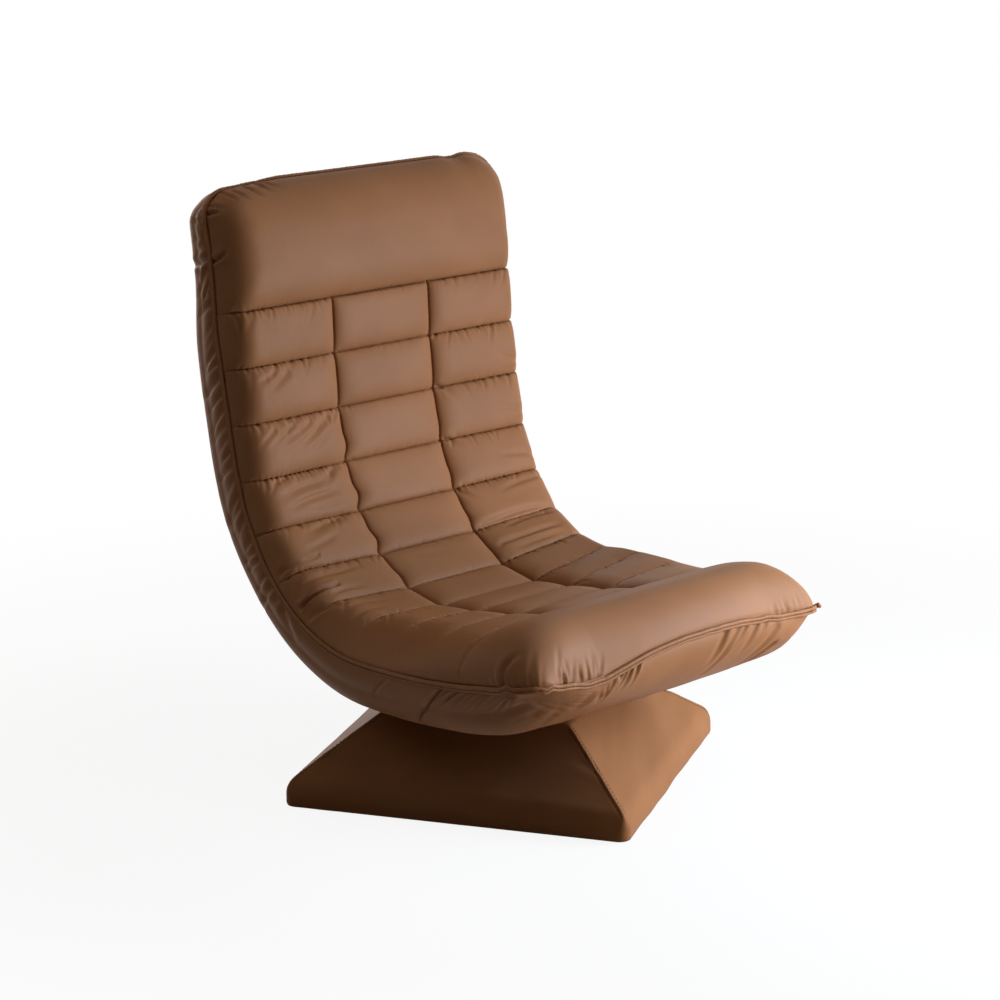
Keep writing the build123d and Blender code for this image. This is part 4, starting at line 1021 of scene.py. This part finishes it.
def ridge_threads():
    """Paths of the topstitches on both sides of the base's four ridges, with their normals."""
    lines = []
    levels = np.array([p for p in base_levels() if PLINTH - 2.0 < p[1] < COVER_TOP - 3.0])
    tilt = smooth((levels[:, 1] - PLINTH + 12.0) / 24.0)
    flat = 1 - tilt * (1 - SLOPE_RISE / SLOPE_LEN)
    normal = unit(np.stack([flat, tilt * SLOPE_RUN / SLOPE_LEN], 1))
    for side in range(4):
        c, s_ = math.cos(side * math.pi / 2), math.sin(side * math.pi / 2)
        for edge in (-1, 1):
            x = levels[:, 0] - 0.5 * normal[:, 0]
            y = edge * (levels[:, 0] - RIDGE_GAP)
            z = levels[:, 1] - 0.5 * normal[:, 1] - ridge_sag(RIDGE_GAP, levels[:, 1])
            points = np.stack([c * x - s_ * y, s_ * x + c * y, z], 1)
            normals = np.stack([c * normal[:, 0], s_ * normal[:, 0], normal[:, 1]], 1)
            lines.append((points, normals))
    return lines


c, s_ = math.cos(BASE_TURN), math.sin(BASE_TURN)
base_turn = np.array([[c, s_, 0], [-s_, c, 0], [0, 0, 1]])
base_cloth = grid_object("base_cover_cloth", base_grid() @ base_turn, wrap=True)
lines = [(points @ base_turn, normals @ base_turn) for points, normals in ridge_threads()]
base_thread = thread_object("base_stitches", lines, length=4.0, gap=2.6, radius=0.55)

# Leaf springs of the recline hinges: hinge axis and lever line, then the bent leaf's half length,
# distance from the axis, rise to its held ends, thickness, width, and where its flat lift ends.

HINGE_Y, HINGE_Z, HINGE_LINE = 141.5, 232.843, math.radians(30)
HINGE_X = 245.0
LEAF_HALF, LEAF_TOUCH, LEAF_RISE = 8.2, 39.5, 2.4
LEAF_THICK, LEAF_WIDE, LEAF_FLAT = 0.8, 4.6, 4.2


def hinge_spot(x, r, t):
    """Points at r along a hinge's lever line and t across it."""
    c, s_ = math.cos(HINGE_LINE), math.sin(HINGE_LINE)
    y, z = HINGE_Y + r * c - t * s_, HINGE_Z + r * s_ + t * c
    return np.stack(np.broadcast_arrays(x, y, z), -1)


def leaf_half(name, x, way):
    """Half of a bent leaf spring, from its held end to its middle over the plunger."""
    t = way * np.linspace(LEAF_HALF, 0.0, 13)[:, None]
    near = LEAF_TOUCH + LEAF_RISE * (t / LEAF_HALF) ** 2
    across = x + LEAF_WIDE * np.array([[-0.5, 0.5, 0.5, -0.5]])
    ring = hinge_spot(across, near + LEAF_THICK * np.array([[0, 0, 1, 1]]), t)
    obj = grid_object(name, ring, wrap=True)
    edit = bmesh.new()
    edit.from_mesh(obj.data)
    bmesh.ops.holes_fill(edit, edges=edit.edges)
    bmesh.ops.recalc_face_normals(edit, faces=edit.faces)
    edit.to_mesh(obj.data)
    edit.free()
    obj.data.polygons.foreach_set("use_smooth", np.zeros(len(obj.data.polygons), bool))
    return obj


leaves = []
for side, x in (("right", -HINGE_X), ("left", HINGE_X)):
    for part, way in (("low", -1), ("high", 1)):
        leaf = leaf_half("leaf_spring_%s_%s" % (side, part), x, way)
        held = hinge_spot(x, LEAF_TOUCH + LEAF_RISE, way * LEAF_HALF)
        lifted = hinge_spot(x, LEAF_TOUCH + LEAF_RISE, way * LEAF_FLAT)
        leaves.append((leaf, side, tuple(held * MM), tuple(lifted * MM)))

# Materials


def feed(tree, target, inputs):
    """Fills a shader node's inputs: an output socket is linked, anything else is set."""
    for key, value in inputs.items():
        if isinstance(value, bpy.types.NodeSocket):
            tree.links.new(value, target.inputs[key])
        else:
            target.inputs[key].default_value = value


def add(tree, kind, inputs=None, operation=None):
    """New shader node with the given inputs."""
    node = tree.nodes.new(kind)
    if operation:
        node.operation = operation
    feed(tree, node, inputs or {})
    return node


def material(name):
    """New material with its node tree and main shader."""
    mat = bpy.data.materials.new(name)
    mat.use_nodes = True
    tree = mat.node_tree
    return mat, tree, tree.nodes["Principled BSDF"]


def finish_surface(tree, shader, mottle, ends, uneven, rough, height, bump, values):
    """Mottled colour, uneven roughness and bump of a material, from noise outputs."""
    ramp = add(tree, "ShaderNodeValToRGB", {"Fac": mottle})
    for element, (position, colour) in zip(ramp.color_ramp.elements, ends):
        element.position = position
        element.color = (*colour, 1)
    low, high = rough
    dull = add(tree, "ShaderNodeMapRange", {"Value": uneven, "To Min": low, "To Max": high})
    strength, depth = bump
    relief = {"Strength": strength, "Distance": depth, "Height": height}
    feed(tree, shader, {
        "Base Color": ramp.outputs["Color"],
        "Roughness": dull.outputs["Result"],
        "Normal": add(tree, "ShaderNodeBump", relief).outputs["Normal"],
        **values,
    })


def leather(name, colour, dark, gloss=0.14, use_uv=True):
    """Coated cloth: fine pebble grain, faint mottling and soft gloss."""
    mat, tree, shader = material(name)
    place = add(tree, "ShaderNodeTexCoord").outputs["UV" if use_uv else "Object"]
    grain = {"Vector": place, "Scale": 700.0, "Randomness": 0.9}
    grain = add(tree, "ShaderNodeTexVoronoi", grain).outputs["Distance"]
    fine = {"Vector": place, "Scale": 160.0, "Detail": 5.0}
    fine = add(tree, "ShaderNodeTexNoise", fine).outputs["Fac"]
    mottle = {"Vector": place, "Scale": 9.0, "Detail": 3.0}
    mottle = add(tree, "ShaderNodeTexNoise", mottle).outputs["Fac"]
    height = add(tree, "ShaderNodeMath", {0: fine, 1: 0.5, 2: grain}, "MULTIPLY_ADD")
    ends = ((0.3, dark), (0.68, colour))
    finish_surface(
        tree, shader, mottle, ends, fine, (0.46, 0.60), height.outputs["Value"], (0.25, 0.0004),
        {"Specular IOR Level": gloss},
    )
    return mat


def plain(name, colour, metallic, rough_low, rough_high, scale, bump_depth):
    """Painted, plated or natural material with a fine uneven surface."""
    mat, tree, shader = material(name)
    place = add(tree, "ShaderNodeTexCoord").outputs["Object"]
    speck = {"Vector": place, "Scale": scale, "Detail": 4.0}
    speck = add(tree, "ShaderNodeTexNoise", speck).outputs["Fac"]
    ends = ((0.0, [0.75 * x for x in colour]), (1.0, colour))
    finish_surface(
        tree, shader, speck, ends, speck, (rough_low, rough_high), speck, (0.3, bump_depth),
        {"Metallic": metallic},
    )
    return mat


BROWN = (0.268, 0.117, 0.049)
BROWN_DARK = (0.234, 0.1, 0.041)
cover_mat = leather("coated_cloth", BROWN, BROWN_DARK)
base_mat = leather("coated_cloth_base", BROWN, BROWN_DARK, gloss=0.04)

# Colour, metallic, lowest and highest roughness, noise scale and bump depth of each slot.
SLOT_LOOKS = {
    "elastic_strap": ((0.05, 0.05, 0.055), 0.0, 0.75, 0.9, 900.0, 0.0004),
    "nonslip_cloth": ((0.03, 0.03, 0.03), 0.0, 0.8, 0.95, 600.0, 0.0005),
    "pine": ((0.62, 0.43, 0.24), 0.0, 0.5, 0.7, 60.0, 0.0003),
    "hardboard": ((0.24, 0.14, 0.08), 0.0, 0.6, 0.8, 300.0, 0.0002),
    "black_steel": ((0.025, 0.025, 0.027), 0.0, 0.35, 0.5, 400.0, 0.0001),
    "bright_steel": ((0.56, 0.56, 0.57), 1.0, 0.2, 0.35, 500.0, 0.00005),
    "nylon": ((0.75, 0.73, 0.68), 0.0, 0.4, 0.55, 300.0, 0.0001),
    "zinc_steel": ((0.62, 0.63, 0.65), 1.0, 0.28, 0.42, 250.0, 0.00005),
}
slot_mats = {name: plain(name, *look) for name, look in SLOT_LOOKS.items()}
slot_mats["coated_cloth"] = leather("coated_cloth_solid", BROWN, BROWN_DARK, use_uv=False)
for obj in (pad_main, pad_head, rear_main, rear_head, base_cloth, welt_main, welt_head):
    obj.data.materials.append(base_mat if obj is base_cloth else cover_mat)
thread_mat = plain("thread", (0.13, 0.053, 0.021), 0.0, 0.6, 0.8, 1500.0, 0.0002)
for obj in (quilt_thread, base_thread):
    obj.data.materials.append(thread_mat)

for leaf, *_ in leaves:
    leaf.data.materials.append(slot_mats["zinc_steel"])
node_slot = {entry["node"]: entry["material_slot"] for entry in frame["record"]["subparts"]}
for name, obj in frame["nodes"].items():
    mat = slot_mats[node_slot[name]]
    if not obj.material_slots:
        obj.data.materials.append(mat)
    for held in obj.material_slots:
        held.material = mat

# How the pieces ride: the covers, welts, stitches and leaf springs have their transforms baked, the
# base cover and its stitches are attached to the base, and the solids they stand in for are hidden;
# neck_a and neck_b are the points where the neck starts and ends.

neck_a = tuple(spot(np.array(NECK_START), 0.0, 0.0) * MM)
neck_b = tuple(spot(np.array(NECK_END), 0.0, 0.0) * MM)
for obj in (pad_main, rear_main, welt_main, quilt_thread):
    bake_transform(obj)
for obj in (pad_head, rear_head, welt_head):
    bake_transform(obj)
for leaf, side, held, lifted in leaves:
    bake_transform(leaf)
    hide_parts("recline_spring_" + side)
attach(base_cloth, "base")
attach(base_thread, "base")
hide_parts("seat_cushion", "lumbar_cushion", "back_cushion")
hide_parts("neck_cushion", "head_cushion")
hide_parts("seat_rear_cover", "lumbar_rear_cover", "back_rear_cover")
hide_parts("neck_rear_cover", "head_rear_cover")
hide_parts("base_cover")

# Floor, light and camera

scene = bpy.context.scene


def background_mix(tree, usual, seen, output):
    """Shows one shader to camera, glossy and transmission rays, and the usual one to the rest."""
    path = add(tree, "ShaderNodeLightPath").outputs
    chosen = path["Is Camera Ray"]
    for name in ("Is Glossy Ray", "Is Transmission Ray"):
        chosen = add(tree, "ShaderNodeMath", {0: chosen, 1: path[name]}, "MAXIMUM").outputs["Value"]
    mixed = add(tree, "ShaderNodeMixShader", {"Fac": chosen, 1: usual, 2: seen})
    feed(tree, tree.nodes[output], {"Surface": mixed.outputs["Shader"]})


FLOOR = 60
floor_mesh = bpy.data.meshes.new("floor")
floor_corners = [(-FLOOR, -FLOOR, 0), (FLOOR, -FLOOR, 0), (FLOOR, FLOOR, 0), (-FLOOR, FLOOR, 0)]
floor_mesh.from_pydata(floor_corners, [], [(0, 1, 2, 3)])
floor = bpy.data.objects.new("floor", floor_mesh)
scene.collection.objects.link(floor)
floor_mat, tree, shader = material("floor")
feed(tree, shader, {"Base Color": (0.9, 0.9, 0.9, 1), "Roughness": 0.9})
white = add(tree, "ShaderNodeEmission")
place = add(tree, "ShaderNodeTexCoord").outputs["Object"]
away = add(tree, "ShaderNodeVectorMath", {0: place}, "LENGTH").outputs["Value"]
reach = {"Value": away, "From Min": 0.7, "From Max": 1.7, "To Min": 0.9, "To Max": 1.0}
whiter = add(tree, "ShaderNodeMapRange", reach).outputs["Result"]
pale = {"Fac": whiter, 1: shader.outputs["BSDF"], 2: white.outputs["Emission"]}
pale = add(tree, "ShaderNodeMixShader", pale)
bounce = add(tree, "ShaderNodeBsdfDiffuse", {"Color": (0.36, 0.29, 0.21, 1)})
background_mix(tree, bounce.outputs["BSDF"], pale.outputs["Shader"], "Material Output")
floor_mesh.materials.append(floor_mat)

world = bpy.data.worlds.new("studio")
scene.world = world
world.use_nodes = True
tree = world.node_tree
dim = tree.nodes["Background"]
feed(tree, dim, {"Color": (1.0, 0.92, 0.78, 1), "Strength": 0.07})
bright = add(tree, "ShaderNodeBackground", {"Color": (1, 1, 1, 1), "Strength": 1.0})
background_mix(tree, dim.outputs["Background"], bright.outputs["Background"], "World Output")


def aimed(name, data, place, towards):
    """Object at a place that looks in the given direction."""
    obj = bpy.data.objects.new(name, data)
    obj.location = place
    obj.rotation_mode = "QUATERNION"
    obj.rotation_quaternion = towards.to_track_quat("-Z", "Y")
    scene.collection.objects.link(obj)
    return obj


# Name, place, aim, size, power and colour of each lamp.
LAMPS = (
    ("key", (2.1, -0.9, 1.5), (0, 0, 0.35), 1.2, 11.5, (1.0, 0.98, 0.97)),
    ("front", (0.8, -0.9, 0.6), (0.0, -0.45, 0.1), 0.5, 14.0, (0.85, 1.07, 1.34)),
    ("low", (0.9, -1.4, 0.22), (0, -0.3, 0.2), 0.4, 17.0, (1.0, 0.95, 0.9)),
    ("back", (-1.7, 1.7, 2.1), (0, 0.2, 0.45), 1.6, 8.0, (1.0, 0.88, 0.72)),
    ("rear", (0.8, 2.8, 0.8), (0, 0.2, 0.4), 1.6, 20.0, (1.0, 0.96, 0.92)),
    ("top", (0.4, -0.8, 3.0), (0, 0, 0.4), 2.0, 14.0, (1.0, 0.93, 0.86)),
)
for name, place, aim, size, power, colour in LAMPS:
    data = bpy.data.lights.new(name, "AREA")
    data.size = size
    data.energy = power
    data.color = colour
    aimed(name, data, place, Vector(aim) - Vector(place)).visible_camera = False

VIEW_A, VIEW_E = math.radians(-44.2385), math.radians(14.3735)
camera = bpy.data.cameras.new("camera")
camera.sensor_width = 36.0
camera.lens = 106.87
camera.clip_end = 200.0
flat = math.cos(VIEW_E)
towards = Vector((-math.sin(VIEW_A) * flat, math.cos(VIEW_A) * flat, -math.sin(VIEW_E)))
scene.camera = aimed("camera", camera, (-2.89297, -2.95864, 1.46765), towards)
scene.view_settings.view_transform = "Standard"
